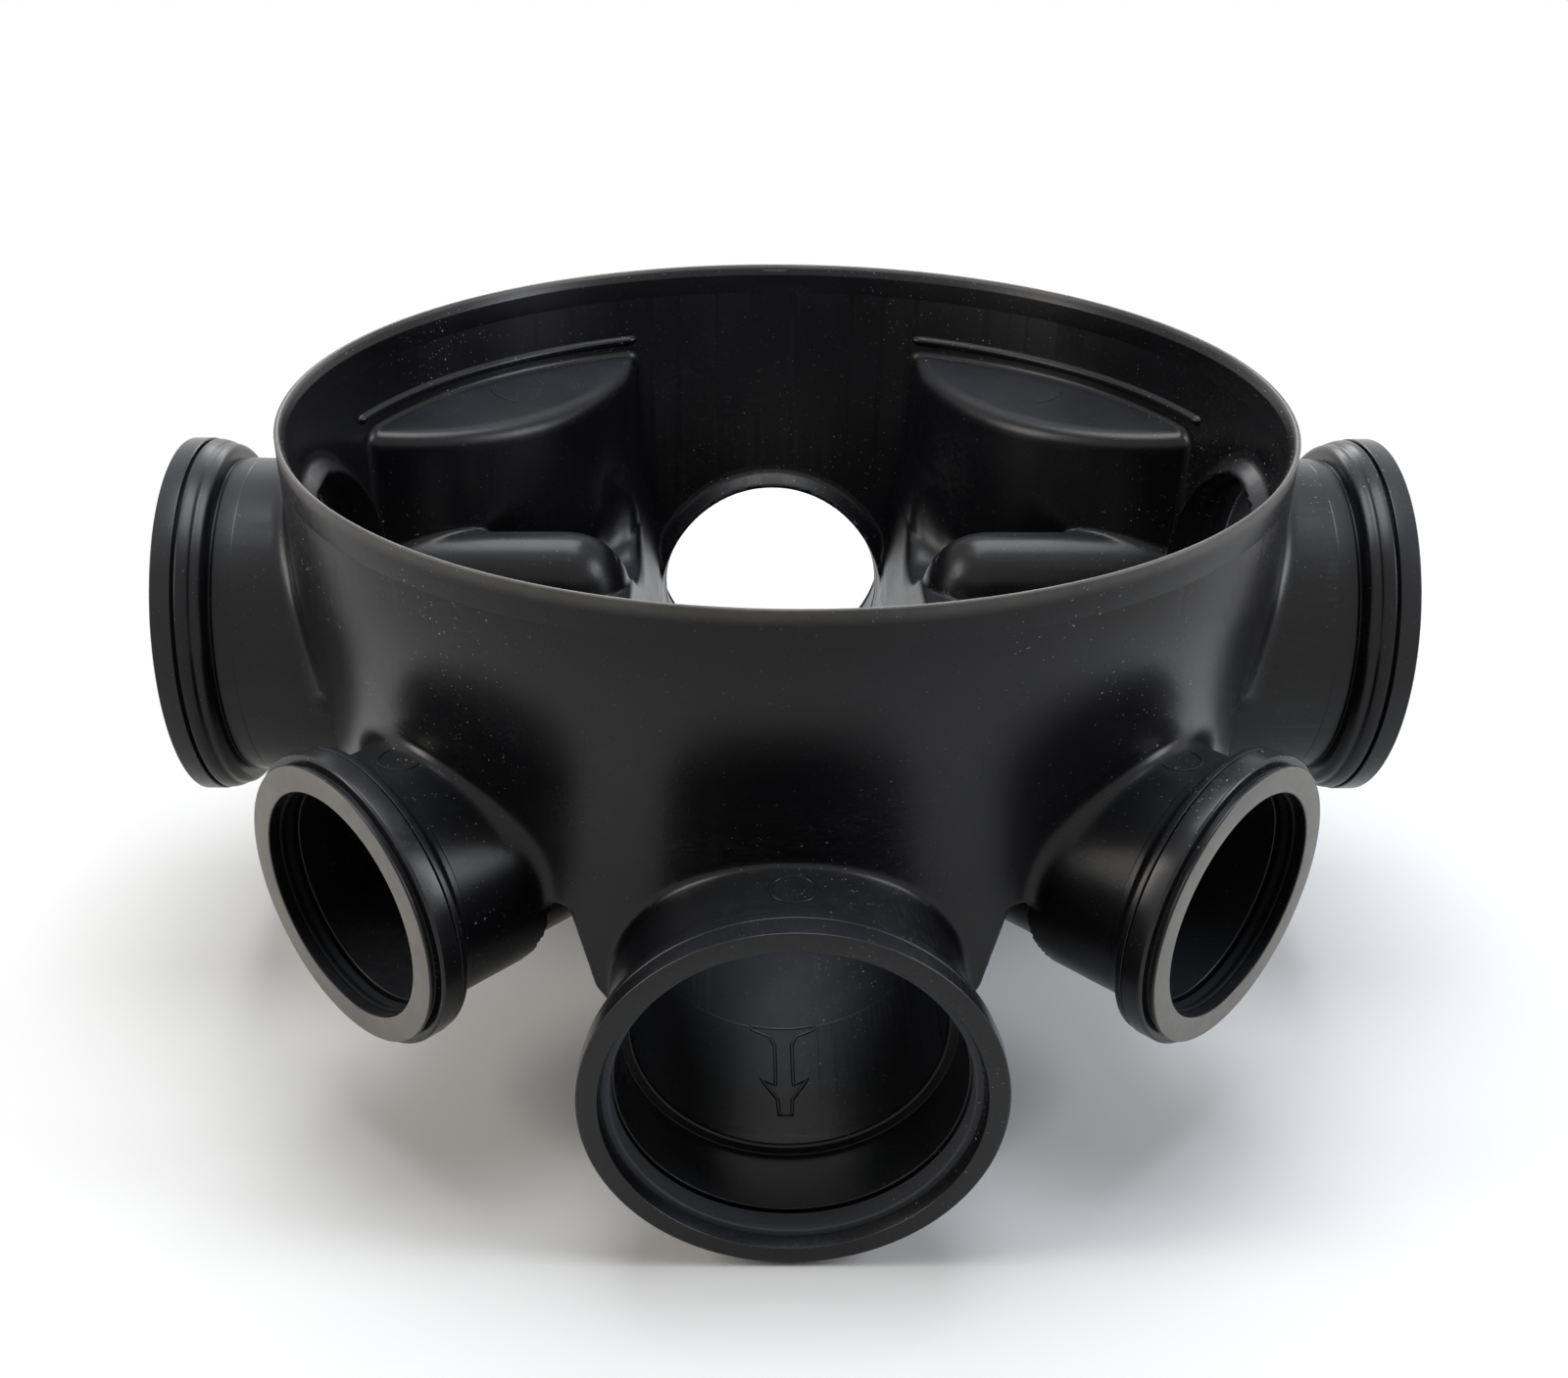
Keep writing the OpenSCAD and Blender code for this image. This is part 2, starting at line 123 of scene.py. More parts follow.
class DrainStageSettings(bpy.types.PropertyGroup):
    """Camera, light and floor"""

    camera: FloatVectorProperty(
        name="Camera", description="Where the camera stands", subtype="XYZ", unit="LENGTH",
        size=3, default=(-0.02678, -0.87974, 0.62193))
    pitch: FloatProperty(
        name="Pitch", description="How far the camera looks down",
        subtype="ANGLE", default=math.radians(32.523))
    yaw: FloatProperty(
        name="Yaw", description="How far the camera turns to the left",
        subtype="ANGLE", default=math.radians(-0.268))
    roll: FloatProperty(
        name="Roll", description="How far the camera leans",
        subtype="ANGLE", default=math.radians(0.173))
    lens: FloatProperty(
        name="Lens", description="Focal length on a 36 mm wide sensor", default=39.21, min=5.0)
    shift_x: FloatProperty(
        name="Shift X", description="Sideways shift of the picture", default=0.02786)
    shift_y: FloatProperty(
        name="Shift Y", description="Upward shift of the picture", default=0.08475)
    light: FloatProperty(
        name="Light", description="Level of the studio lights", default=1.0, min=0.0)


# ---- sizes, in millimetres

DRUM_R = 262.5          # outside of the drum's wall
INNER_R = 257.7         # inside of the drum's wall
RIM_TOP = 328.0
FIELD_TOP = 325.0       # the turned rim ring stands above this height
BENCH_TOP = 212.0
FAR = 1e3               # a distance that no surface reaches

LARGE, SMALL = "large", "small"
# turn: degrees from the front; height: of the axis; mouth: distance from the drum's axis
Socket = namedtuple("Socket", "name turn height mouth kind")
SOCKETS = (
    Socket("front", 0.0, 100.0, 302.0, LARGE),
    Socket("back", 180.0, 100.0, 325.0, LARGE),
    Socket("left", -90.0, 200.0, 325.0, LARGE),
    Socket("right", 90.0, 200.0, 325.0, LARGE),
    Socket("front_left", -45.0, 150.0, 304.25, SMALL),
    Socket("front_right", 45.0, 150.0, 304.25, SMALL),
)
FRONT = SOCKETS[0]
LIPPED = ("back", "left", "right")
# Radii of the pipe, bore, body and clear room, and depths behind the mouth
# of the pipe stop, the collar's end and the round mark
KIND = {
    LARGE: dict(pipe=76.0, bore=81.5, body=87.0, stop=57.0, clear=110.0, join=36.0, mark=49.0),
    SMALL: dict(pipe=52.0, bore=56.0, body=64.0, stop=58.0, clear=84.0, join=27.0, mark=44.0),
}
# Closed profiles to turn: depth behind the mouth, radius, corner size
COLLAR = {
    LARGE: (
        (7, 91, 0.3), (20, 91, 0.3), (20, 81.5, 0.8), (57, 81.5, 0.5),
        (57, 76.6, 1), (58.4, 75.6, 0.9), (66, 75.6, 0.2), (66.8, 76.3, 0.1),
        (66.8, 79, 0.1), (60, 84, 0.1), (40, 84.3, 0.1), (38.5, 85.9, 0.1),
        (38.5, 86.92, 0.1), (37.8, 87.12, 0.3), (28.6, 87.12, 0.5), (27.9, 86.2, 0.3),
        (26.8, 86.2, 0.3), (26.6, 91.6, 0.7), (24.9, 93.8, 1.2), (22.7, 94.8, 1),
        (20.2, 95, 0.9), (18.7, 96.2, 1.3), (15.7, 97.2, 1.5), (13, 97.4, 0.8),
        (12.2, 96.8, 0.4), (12.2, 94.3, 0.3), (7, 94.3, 0.3)),
    SMALL: (
        (6, 68.5, 0.3), (15.5, 68.5, 0.3), (15.5, 56, 0.6), (58, 56, 0.5),
        (58, 52.5, 0.8), (59.3, 51.6, 0.8), (66, 51.6, 0.2), (66.8, 52.3, 0.1),
        (66.8, 54, 0.1), (61, 58.5, 0.1), (32, 59, 0.1), (30, 62.8, 0.1),
        (30, 63.92, 0.1), (29.3, 64.12, 0.3), (26, 64.12, 1.4), (24, 66, 1.6),
        (20, 74.6, 1.4), (16.4, 75, 0.4), (16, 74.6, 0.3), (16, 71.8, 0.3),
        (6, 71.8, 0.3)),
}
CAP = {
    LARGE: (
        (0, 88.2, 0.5), (0, 97.2, 0.8), (0.6, 98, 0.5), (10.6, 98, 0.4),
        (11, 97.5, 0.3), (11, 94.6, 0.2), (7, 94.6, 0.2), (7, 86.6, 0.4),
        (5.6, 86.6, 0.5)),
    SMALL: (
        (0.5, 58.6, 0.4), (0, 59.2, 0.4), (0, 71.4, 0.5), (0.7, 72, 0.4),
        (1.6, 72, 0.3), (1.8, 69.8, 0.3), (4.8, 69.8, 0.3), (4.8, 74.6, 0.7),
        (5.8, 75.5, 0.6), (15.1, 75.5, 0.3), (15.4, 75.2, 0.2), (15.4, 72, 0.2),
        (6, 72, 0.2), (6, 58.6, 0.3)),
}
# Outer radius, lip radius, and the depths where the seal starts and ends
SEAL = {LARGE: (90.7, 83, 7, 20), SMALL: (68.2, 57.5, 6, 15.5)}
# Closed profile of the rim ring: height, radius, corner size
RIM = (
    (311, 257.6, 0.1), (322.5, 257.6, 0.8), (327.5, 260.2, 0.6), (328, 260.8, 0.4),
    (328, 262.1, 0.4), (327.4, 262.6, 0.4), (311, 262.6, 0.1), (311, 260, 0.1))
# Beads above the shelves: the degrees where each starts and ends, and its section
BEADS = (("left", 109.6, 162.6), ("right", 17.4, 70.4))
BEAD_SECTION = ((-4.4, 1.6), (-3.2, -0.5), (-1.8, -2.2), (-0.4, -3.1), (1, -3.1), (2.2, -2),
                (3.4, 1.6))
# Leaf marks on the shelves: degrees, and rings of share of the full size and rise
LEAVES = (("left", 135.4), ("right", 44.4))
LEAF_RINGS = ((1, -0.3), (1, 0.25), (0.86, 0.5), (0.4, 0.55))
# Right half of the flow arrow's outline, from its tip, and sections of raised lines
ARROW_HALF = ((3.3, 0), (3.8, 12), (12.5, 27), (4.6, 23), (4.6, 55), (7, 62), (17, 66), (17, 69))
ARROW_SECTION = ((-1.2, -0.5), (-0.9, 0.4), (-0.4, 0.8), (0.4, 0.8), (0.9, 0.4), (1.2, -0.5))
MARK_SECTION = ((9.6, -0.5), (9.8, 0.28), (10.1, 0.42), (10.5, 0.42), (10.8, 0.28), (11.0, -0.5))


# ---- the moulding as a field

def smin(a, b, k):
    """Smaller of two distances, with the inner edge rounded over a width k."""
    h = maximum(k - np.abs(a - b), 0) / k
    return minimum(a, b) - h * h * k * 0.25


def smax(a, b, k):
    """Larger of two distances, with the outer edge rounded over a width k."""
    return -smin(-a, -b, k)


def step(a, b, v):
    """0 up to a, 1 from b on, smooth between."""
    t = np.clip((v - a) / (b - a), 0, 1)
    return t * t * (3 - 2 * t)


def corner_distance(a, b, r):
    """Distance to the corner of two sides, rounded with radius r."""
    return hypot(maximum(a, 0), maximum(b, 0)) + minimum(maximum(a, b), 0) - r


def facing(socket):
    """Direction out of a socket's mouth."""
    a = math.radians(socket.turn)
    return math.sin(a), -math.cos(a)


def along(socket, x, y, z):
    """Depth behind a socket's mouth and radius about its axis."""
    out_x, out_y = facing(socket)
    depth = socket.mouth - (x * out_x + y * out_y)
    side = x * -out_y + y * out_x
    return depth, hypot(side, z - socket.height)


def each_socket(x, y, z):
    """Each socket, its kind's sizes, and the points' depth and radius in it."""
    for socket in SOCKETS:
        yield socket, KIND[socket.kind], *along(socket, x, y, z)


def taper(z):
    """Radius of the front wall about its own centre, which draws in towards the bottom."""
    top, run = 322.0, 150.0
    radius, opening, draw = 302.5, 1.5, 28.0
    t = np.clip((top - z) / run, 0, 1)
    return radius + opening * (1 - t) - draw * t * t * (3 - 2 * t)


def drum(x, y, z, inset):
    """Distance to the drum's form."""
    centre = 40.0
    blend, more, run, start = 4.0, 12.0, 70, 316.0
    d1 = hypot(x, y) - DRUM_R + inset
    d2 = hypot(x, y - centre) - taper(z) + inset
    return smax(d1, d2, blend + more * step(0, run, start - z))


def shelf_top(rho):
    """Height of the blank inlets' shelves, which slope down to the middle."""
    height, slope, start = 270.0, 0.16, 228.0
    return height + slope * (rho - start)


def blank(x, y, z, inset, low, k):
    """Distance to the blank inlets' form, with their sloping shelves on top."""
    centre, radius = 279.3, 195.0
    side = hypot(np.abs(x) - centre, y - centre) - radius + inset
    top = z - shelf_top(hypot(x, y)) + inset
    return maximum(smax(side, top, k), low - z)


def bench(x, y, z):
    """Distance to the benching between a side channel and the main one."""
    corner_x, corner_y, radius, rounding = 132.0, 112.0, 40.0, 46.0
    p = corner_distance(corner_x - np.abs(x), corner_y - y, radius)
    return corner_distance(p + rounding, z - BENCH_TOP + rounding, rounding)


def trough(x, y, z, edge):
    """Distance to the trough in front of each blank inlet's wall."""
    centre_y, centre_z, radius = 156.0, 200.0, 44.0
    centre_x, half, end_round = 132.5, 72.5, 8.0
    c = np.abs(y - centre_y)
    profile = np.where(z > centre_z, c, hypot(c, z - centre_z)) - radius
    low = BENCH_TOP - edge
    flare = maximum(edge - hypot(c - radius - edge, z - low),
                    maximum(low - z, c - radius - edge))
    profile = minimum(profile, flare)
    return smax(profile, np.abs(np.abs(x) - centre_x) - half, end_round)


def chamber(x, y, z, s):
    """Distance to the space inside the drum and its channels."""
    rho = hypot(x, y)
    ax = np.abs(x)
    # open space over the benching, which lies deeper between its humps at the back
    back_floor, front_floor = 172.0, 208.0
    back = maximum(smax(-bench(x, y, z), back_floor - z, 2.0), -y)
    front = maximum(front_floor - z, y)
    space = minimum(back, front)
    # main channel, side channels, and the well in front
    main_floor, main_front, lean = 80.0, -147.0, 0.975
    half = np.interp(z, (main_floor, 172.0, 209.0), (70.0, 91.0, 92.0))
    channel = maximum(maximum((ax - half) * lean, main_floor - z), main_front - y)
    side_half, side_floor = 75.5, 194.0
    sides = maximum(np.abs(y) - side_half, side_floor - z)
    well_r, well_floor, well_back = 151.0, 138.0, -38.0
    well = smax(smax(rho - well_r, well_floor - z, 10.0), y - well_back, 6.0)
    space = smin(space, channel, 5.0)
    space = smin(space, sides, 5.0)
    space = smin(space, well, 9.0)
    space = smin(space, trough(x, y, z, s.trough_round), 10.0)
    stop_low, stop_side = 140.0, 92.0
    stop = smax(blank(x, y, z, 0.0, stop_low, s.shelf_round), stop_side - ax, 5.0)
    # the wall's foot sweeps out to the trough's floor near the main channel
    sweep = 22.0
    low, near = 1 - step(200.0, 240.0, z), 1 - step(110.0, 140.0, ax)
    space = smax(space, -stop, s.foot_round + sweep * low * near)
    rim_round = 3.0
    wall_round = rim_round + (s.foot_round - rim_round) * step(300, 270, z)
    space = smax(space, drum(x, y, z, s.wall), wall_round)
    return smax(space, -lips(x, y, z, s), 2.5)


def lips(x, y, z, s):
    """Distance to the rounded lips round the back and side pipes' mouths in the chamber."""
    rise, reach, edge = 0.75, 0.66, 5.0
    wall = INNER_R - hypot(x, y)
    out = np.full_like(wall, FAR)
    for socket, size, depth, r in each_socket(x, y, z):
        if socket.name in LIPPED:
            slope = rise * (r - size["pipe"]) + reach * (wall - s.lip)
            ring = smax(slope, size["pipe"] - r, edge)
            out = minimum(out, maximum(ring, depth - socket.mouth))
    return out


def with_pipes(space, x, y, z, s):
    """The chamber's space with its pipes, which open out where they meet the drum's wall."""
    large_past, small_short = 4.0, 70.0
    widening, small_edge, inner_edge, front_bell = 2.5, 6.0, 1.6, 7.0
    front_wall, bell_depth = 232.0, 8.0
    for socket, size, depth, r in each_socket(x, y, z):
        front, radius = socket is FRONT, size["pipe"]
        if front:
            radius = radius + widening * step(149.0, 152.0, depth) * step(520.0, 500.0, depth)
        if socket.kind == SMALL:
            reach, k = socket.mouth - small_short, small_edge
        else:
            reach = socket.mouth + large_past
            wall_depth = socket.mouth - (front_wall if front else INNER_R)
            near = 1 - step(12, 30, np.abs(depth - wall_depth - bell_depth))
            k = inner_edge + ((front_bell if front else s.bell) - inner_edge) * near
        space = smin(space, maximum(r - radius, depth - reach), k)
    return space


def bores(space, x, y, z):
    """The space with the wider bores of the sockets, which the turned collars line."""
    room, past_stop = 0.8, 3.0
    for _, size, depth, r in each_socket(x, y, z):
        bore = maximum(r - size["bore"] - room, depth - size["stop"] - past_stop)
        space = minimum(space, bore)
    return space


def apron_form(x, y, z, s):
    """Distance to the drum's wall, which runs down over the pipes as an apron."""
    shell = maximum(drum(x, y, z, 0.0), -drum(x, y, z, s.wall + 0.5))
    # the wall ends low over the sides, and lowest over the front and back pipes
    side_half, side_top, low_edge, hood_low = 94.0, 198.0, 148.5, 98.0
    gap = maximum(np.abs(y) - side_half, z - side_top)
    low = smax(low_edge - z, -gap, 6.0)
    half = np.interp(z, (hood_low, 141.0, 148.0, 153.0), (93.0, 104.0, 106.0, 113.0))
    hood = smax(hood_low - z, np.abs(x) - half, 8.0)
    low = smin(low, hood, 4.0)
    pocket_low, pocket_side = 99.0, 96.8
    pocket = maximum(blank(x, y, z, s.wall, pocket_low, 6.0), pocket_side - np.abs(x))
    return smax(smax(shell, low, 2.5), -pocket, 2.5)


def feet(x, y, z):
    """Distance to the cross ribs under the main run and the spine that joins them."""
    half_thick, half_wide, rib_top = 3.0, 75.0, 80.0
    ribs = np.full_like(z, FAR)
    for place in (-120.0, -20.0, 80.0, 180.0):
        rib = maximum(np.abs(y - place) - half_thick, np.abs(x) - half_wide)
        ribs = minimum(ribs, maximum(rib, z - rib_top))
    middle, half_long, spine_top = 30.0, 150.0, 24.0
    spine = maximum(np.abs(x) - half_thick, np.abs(y - middle) - half_long)
    spine = maximum(spine, z - spine_top)
    return maximum(minimum(ribs, spine), -z)


def outside(x, y, z, s, space, core):
    """Distance to the moulding's outer form, as if it were full."""
    d = minimum(space - s.wall, apron_form(x, y, z, s))
    # sockets' bodies, a little thinner under the collars, joined to the wall with a fillet
    thinner, length = 0.8, 215.0
    small_fillet, more, large_fillet, front_fillet = 6.0, 5.0, 9.0, 5.0
    inner = drum(x, y, z, s.wall)
    for socket, size, depth, r in each_socket(x, y, z):
        under = 1 - step(size["join"] - 7.0, size["join"] - 4.0, depth)
        tube = maximum(r - (size["body"] - thinner * under), -inner)
        tube = maximum(tube, depth - (socket.mouth - length))
        if socket.kind == SMALL:
            k = small_fillet + more * step(-10, 45, z - socket.height)
        else:
            k = front_fillet if socket is FRONT else large_fillet
        d = smin(d, tube, k)
    d = minimum(d, core - s.wall)
    return smin(d, feet(x, y, z), 4.0)


def moulding(x, y, z, s):
    """Distance to the moulding: negative inside its walls."""
    space = chamber(x, y, z, s)
    core = with_pipes(space, x, y, z, s)
    solid = smax(outside(x, y, z, s, space, core), -bores(core, x, y, z), 2.6)
    lap = 7.0
    for _, size, depth, r in each_socket(x, y, z):
        cut = maximum(depth - size["join"] + lap, r - size["clear"])
        solid = maximum(solid, -cut)
    # thinner near the rim, where the turned ring covers it
    thin = 0.9 * step(312.5, 316.0, z)
    return maximum(solid + thin, z - FIELD_TOP)


# ---- the field's surface

CHUNK = 400000          # points that the field takes at once
GRID_X, GRID_Y = (-303.0, 303.0), (-280.0, 303.0)
GRID_BLOCK = 12         # layers of the grid taken at once
ROUNDS, MOST_MOVE, SLOPE_STEP = 2, 1.6, 0.25    # how points are moved onto the surface
SHADE_STEP, AGREE = 0.9, 0.7    # how far apart the slope for shading is taken, and where it holds
FEWEST_FACES = 1000


def distances(points, s):
    """The moulding's field at each row of points."""
    out = np.empty(len(points), np.float64)
    for i in range(0, len(points), CHUNK):
        out[i:i + CHUNK] = moulding(*points[i:i + CHUNK].T, s)
    return out


def gradient(points, s, h):
    """Slope of the moulding's field at each point, taken over a step h to both sides."""
    g = np.empty_like(points)
    for axis in range(3):
        hi, lo = points.copy(), points.copy()
        hi[:, axis] += h
        lo[:, axis] -= h
        g[:, axis] = (distances(hi, s) - distances(lo, s)) / (2 * h)
    return g


def project(points, s):
    """Moves points onto the moulding's surface."""
    p = points.copy()
    for _ in range(ROUNDS):
        d = distances(p, s)
        g = gradient(p, s, SLOPE_STEP)
        move = -(d / maximum((g * g).sum(1), 0.05))[:, None] * g
        size = np.linalg.norm(move, axis=1)
        p += move * minimum(1.0, MOST_MOVE / maximum(size, 1e-9))[:, None]
    return p


def sampled(s):
    """The grid's first corner and the field at each of its points."""
    c = s.cell
    gx = np.arange(GRID_X[0], GRID_X[1] + c, c)
    gy = np.arange(GRID_Y[0], GRID_Y[1] + c, c)
    gz = np.arange(-1.5 * c, RIM_TOP + 2 * c, c)
    values = np.empty((len(gx), len(gy), len(gz)), np.float32)
    y3, z3 = np.meshgrid(gy, gz, indexing="ij")
    for i in range(0, len(gx), GRID_BLOCK):
        xs = gx[i:i + GRID_BLOCK]
        shape = (len(xs), len(gy), len(gz))
        block = [np.broadcast_to(a, shape) for a in (xs[:, None, None], y3[None], z3[None])]
        values[i:i + GRID_BLOCK] = moulding(*block, s)
    return np.array([gx[0], gy[0], gz[0]]), values


def cell_points(values, cells):
    """One point in each cell: the mean of where the surface crosses the cell's edges."""
    total, hits = np.zeros((len(cells), 3)), np.zeros(len(cells))
    for axis in range(3):
        first, second = [a for a in range(3) if a != axis]
        for u, v in np.ndindex(2, 2):
            start = np.zeros(3, int)
            start[first], start[second] = u, v
            end = start.copy()
            end[axis] = 1
            a = values[tuple((cells + start).T)]
            b = values[tuple((cells + end).T)]
            cross = (a < 0) != (b < 0)
            where = np.broadcast_to(start, (len(cells), 3)).astype(float)
            where[:, axis] = np.where(cross, a / np.where(cross, a - b, 1), 0)
            total += where * cross[:, None]
            hits += cross
    return cells + total / hits[:, None]


def surface_net(s):
    """Vertices and quads of the moulding's surface on a regular grid."""
    origin, values = sampled(s)
    inside = values < 0
    nx, ny, nz = (n - 1 for n in values.shape)
    count = sum(inside[i:nx + i, j:ny + j, k:nz + k].astype(np.int8)
                for i, j, k in np.ndindex(2, 2, 2))
    active = (count > 0) & (count < 8)
    index = np.full(active.shape, -1, np.int64)
    index[active] = np.arange(active.sum())
    points = cell_points(values, np.argwhere(active)) * s.cell + origin
    # each edge of the grid that the surface crosses gives a quad of its four cells
    quads = []
    for axis, (o1, o2) in enumerate(((1, 2), (2, 0), (0, 1))):
        lo, hi = [slice(1, -1)] * 3, [slice(1, -1)] * 3
        lo[axis], hi[axis] = slice(0, -1), slice(1, None)
        a, b = inside[tuple(lo)], inside[tuple(hi)]
        for flip, mask in ((False, a & ~b), (True, ~a & b)):
            at = np.argwhere(mask) + 1
            at[:, axis] -= 1
            ring = []
            for d1, d2 in ((-1, -1), (0, -1), (0, 0), (-1, 0)):
                cell = at.copy()
                cell[:, o1] += d1
                cell[:, o2] += d2
                ring.append(index[tuple(cell.T)])
            quad = np.stack(ring, 1)
            quads.append(quad[:, ::-1] if flip else quad)
    return points, np.concatenate(quads)


# ---- mesh helpers

CORNER_SHARE = 0.45     # most of a side that the round of one corner takes
SHARP_TURNED, SHARP_RAISED = math.radians(50), math.radians(60)


def fresh(name, mesh, material, replaced=()):
    """A piece of the part, on its body, with its material."""
    ob = bpy.data.objects.new(name, mesh)
    bpy.context.scene.collection.objects.link(ob)
    mesh.materials.append(material)
    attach(ob, BODY)
    if replaced:
        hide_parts(*replaced)
    return ob


def smooth(mesh):
    """Shades all of a mesh's faces smooth."""
    mesh.polygons.foreach_set("use_smooth", np.ones(len(mesh.polygons), bool))
    mesh.update()


def filled(name, points, faces):
    """A smooth mesh from points in millimetres and faces."""
    mesh = bpy.data.meshes.new(name)
    mesh.from_pydata((np.asarray(points) * MM).tolist(), [], [list(map(int, f)) for f in faces])
    mesh.validate()
    smooth(mesh)
    return mesh


def banded(rows, count, closed):
    """Quads between each ring of count points and the next, and from the last to the first."""
    faces = []
    for i in range(rows if closed else rows - 1):
        j = (i + 1) % rows
        for k in range(count):
            m = (k + 1) % count
            faces.append((i * count + k, i * count + m, j * count + m, j * count + k))
    return faces


def capped(rows, count):
    """Quads between each ring of count points and the next, with a face on each end."""
    last = (rows - 1) * count
    ends = [tuple(range(count)), tuple(last + k for k in reversed(range(count)))]
    return banded(rows, count, False) + ends


def closed_mesh(name, points, faces, sharp=None):
    """A closed mesh with its faces turned outwards, and sharp edges from an angle on."""
    mesh = filled(name, points, faces)
    bm = bmesh.new()
    bm.from_mesh(mesh)
    bmesh.ops.recalc_face_normals(bm, faces=bm.faces)
    if bm.calc_volume(signed=True) < 0:
        bmesh.ops.reverse_faces(bm, faces=bm.faces)
    bm.to_mesh(mesh)
    bm.free()
    if sharp:
        mesh.set_sharp_from_angle(angle=sharp)
    return mesh


def rounded(profile, steps):
    """A closed profile of (depth, radius, corner size) with its corners rounded."""
    out = []
    n = len(profile)
    for i in range(n):
        here = np.array(profile[i][:2], float)
        before = np.array(profile[i - 1][:2], float)
        after = np.array(profile[(i + 1) % n][:2], float)
        u, v = before - here, after - here
        lu, lv = np.linalg.norm(u), np.linalg.norm(v)
        reach = min(profile[i][2], lu * CORNER_SHARE, lv * CORNER_SHARE)
        a, b = here + u / lu * reach, here + v / lv * reach
        for j in range(steps + 1):
            t = j / steps
            out.append((1 - t) ** 2 * a + 2 * t * (1 - t) * here + t * t * b)
    return np.array(out)


def socket_point(socket, depth, radius, angle):
    """Points in the row frame, in millimetres, of a ring about a socket's axis."""
    out_x, out_y = facing(socket)
    side = radius * np.cos(angle)
    x = (socket.mouth - depth) * out_x - side * out_y
    y = (socket.mouth - depth) * out_y + side * out_x
    return np.stack([x, y, socket.height + radius * np.sin(angle)], -1)


def upright(depth, radius, angle):
    """Points of a ring about the drum's axis, where depth is height."""
    return np.stack([radius * np.cos(angle), radius * np.sin(angle), depth], -1)


def lathe(name, profile, place, segments, steps):
    """A closed profile turned about a place's axis, with sharp corners kept by small rounds."""
    pts = rounded(profile, steps)
    turns = np.arange(segments) * 2 * math.pi / segments
    depth, angle = np.meshgrid(pts[:, 0], turns, indexing="ij")
    radius = np.broadcast_to(pts[:, 1][:, None], angle.shape)
    points = place(depth, radius, angle).reshape(-1, 3)
    return closed_mesh(name, points, banded(len(pts), segments, True), SHARP_TURNED)


def turned(name, profile, socket):
    """A ring turned about a socket's axis."""
    t = bpy.context.scene.drain_sockets
    return lathe(name, profile, partial(socket_point, socket), t.segments, t.round_steps)


def coordinates(mesh):
    """A mesh's vertices as rows, in millimetres."""
    co = np.empty(len(mesh.vertices) * 3, np.float32)
    mesh.vertices.foreach_get("co", co)
    return co.reshape(-1, 3).astype(float) / MM


def marked(mesh, test):
    """Marks the vertices that carry a pale painted sheen, which stands in for reflected light."""
    painted_sheen = mesh.attributes.new("painted_sheen", "FLOAT", "POINT")
    painted_sheen.data.foreach_set("value", test(*coordinates(mesh).T).astype(np.float32))


# ---- shader node groups

class Net:
    """Short names for adding and joining shader nodes."""

    def __init__(self, tree):
        self.tree = tree

    def add(self, kind, **values):
        node = self.tree.nodes.new("ShaderNode" + kind)
        for key, value in values.items():
            setattr(node, key, value)
        return node

    def set(self, socket, value):
        if isinstance(value, bpy.types.NodeSocket):
            self.tree.links.new(value, socket)
        else:
            socket.default_value = value

    def math(self, op, a, b=0.0, clamp=False):
        node = self.add("Math", operation=op, use_clamp=clamp)
        self.set(node.inputs[0], a)
        self.set(node.inputs[1], b)
        return node.outputs[0]

    def times(self, a, b, clamp=False):
        return self.math("MULTIPLY", a, b, clamp)

    def coords(self):
        return self.add("TexCoord").outputs["Object"]

    def length(self, vector):
        node = self.add("VectorMath", operation="LENGTH")
        self.set(node.inputs[0], vector)
        return node.outputs["Value"]

    def mapped(self, vector, key, value):
        node = self.add("Mapping")
        self.set(node.inputs["Vector"], vector)
        node.inputs[key].default_value = value
        return node.outputs["Vector"]

    def noise(self, vector, scale, detail, rough=0.55, distort=0.0):
        node = self.add("TexNoise")
        self.set(node.inputs["Vector"], vector)
        for key, v in zip(("Scale", "Detail", "Roughness", "Distortion"),
                          (scale, detail, rough, distort)):
            node.inputs[key].default_value = v
        return node.outputs["Fac"]

    def ramp(self, value, low, high, to_low=0.0, to_high=1.0):
        node = self.add("MapRange", interpolation_type="SMOOTHSTEP")
        self.set(node.inputs["Value"], value)
        for key, v in zip(("From Min", "From Max", "To Min", "To Max"),
                          (low, high, to_low, to_high)):
            self.set(node.inputs[key], v)
        return node.outputs["Result"]

    def mix(self, fac, a, b):
        node = self.add("Mix", data_type="RGBA")
        self.set(node.inputs["Factor"], fac)
        ins = [i for i in node.inputs if i.type == "RGBA"]
        for socket, value in zip(ins, (a, b)):
            self.set(socket, (*value, 1.0) if isinstance(value, tuple) else value)
        return [o for o in node.outputs if o.type == "RGBA"][0]

    def use(self, tree, **values):
        """A node that places a group with its own values."""
        node = self.add("Group", node_tree=tree)
        for key, value in values.items():
            self.set(node.inputs[key], value)
        return node.outputs


def node_group(name, given, *made):
    """Turns a function that fills a shader node group into one that gives the group."""
    def socket(tree, label, way):
        return tree.interface.new_socket(name=label, in_out=way, socket_type="NodeSocketFloat")

    def wrap(fill):
        def get():
            tree = bpy.data.node_groups.get(name)
            if not tree:
                tree = bpy.data.node_groups.new(name, "ShaderNodeTree")
                socket(tree, given, "INPUT").default_value = 1.0
                for label in made:
                    socket(tree, label, "OUTPUT")
                net = Net(tree)
                start, end = (tree.nodes.new("NodeGroup" + kind) for kind in ("Input", "Output"))
                for label, value in zip(made, fill(net, start.outputs[given])):
                    net.set(end.inputs[label], value)
            return tree
        return get
    return wrap


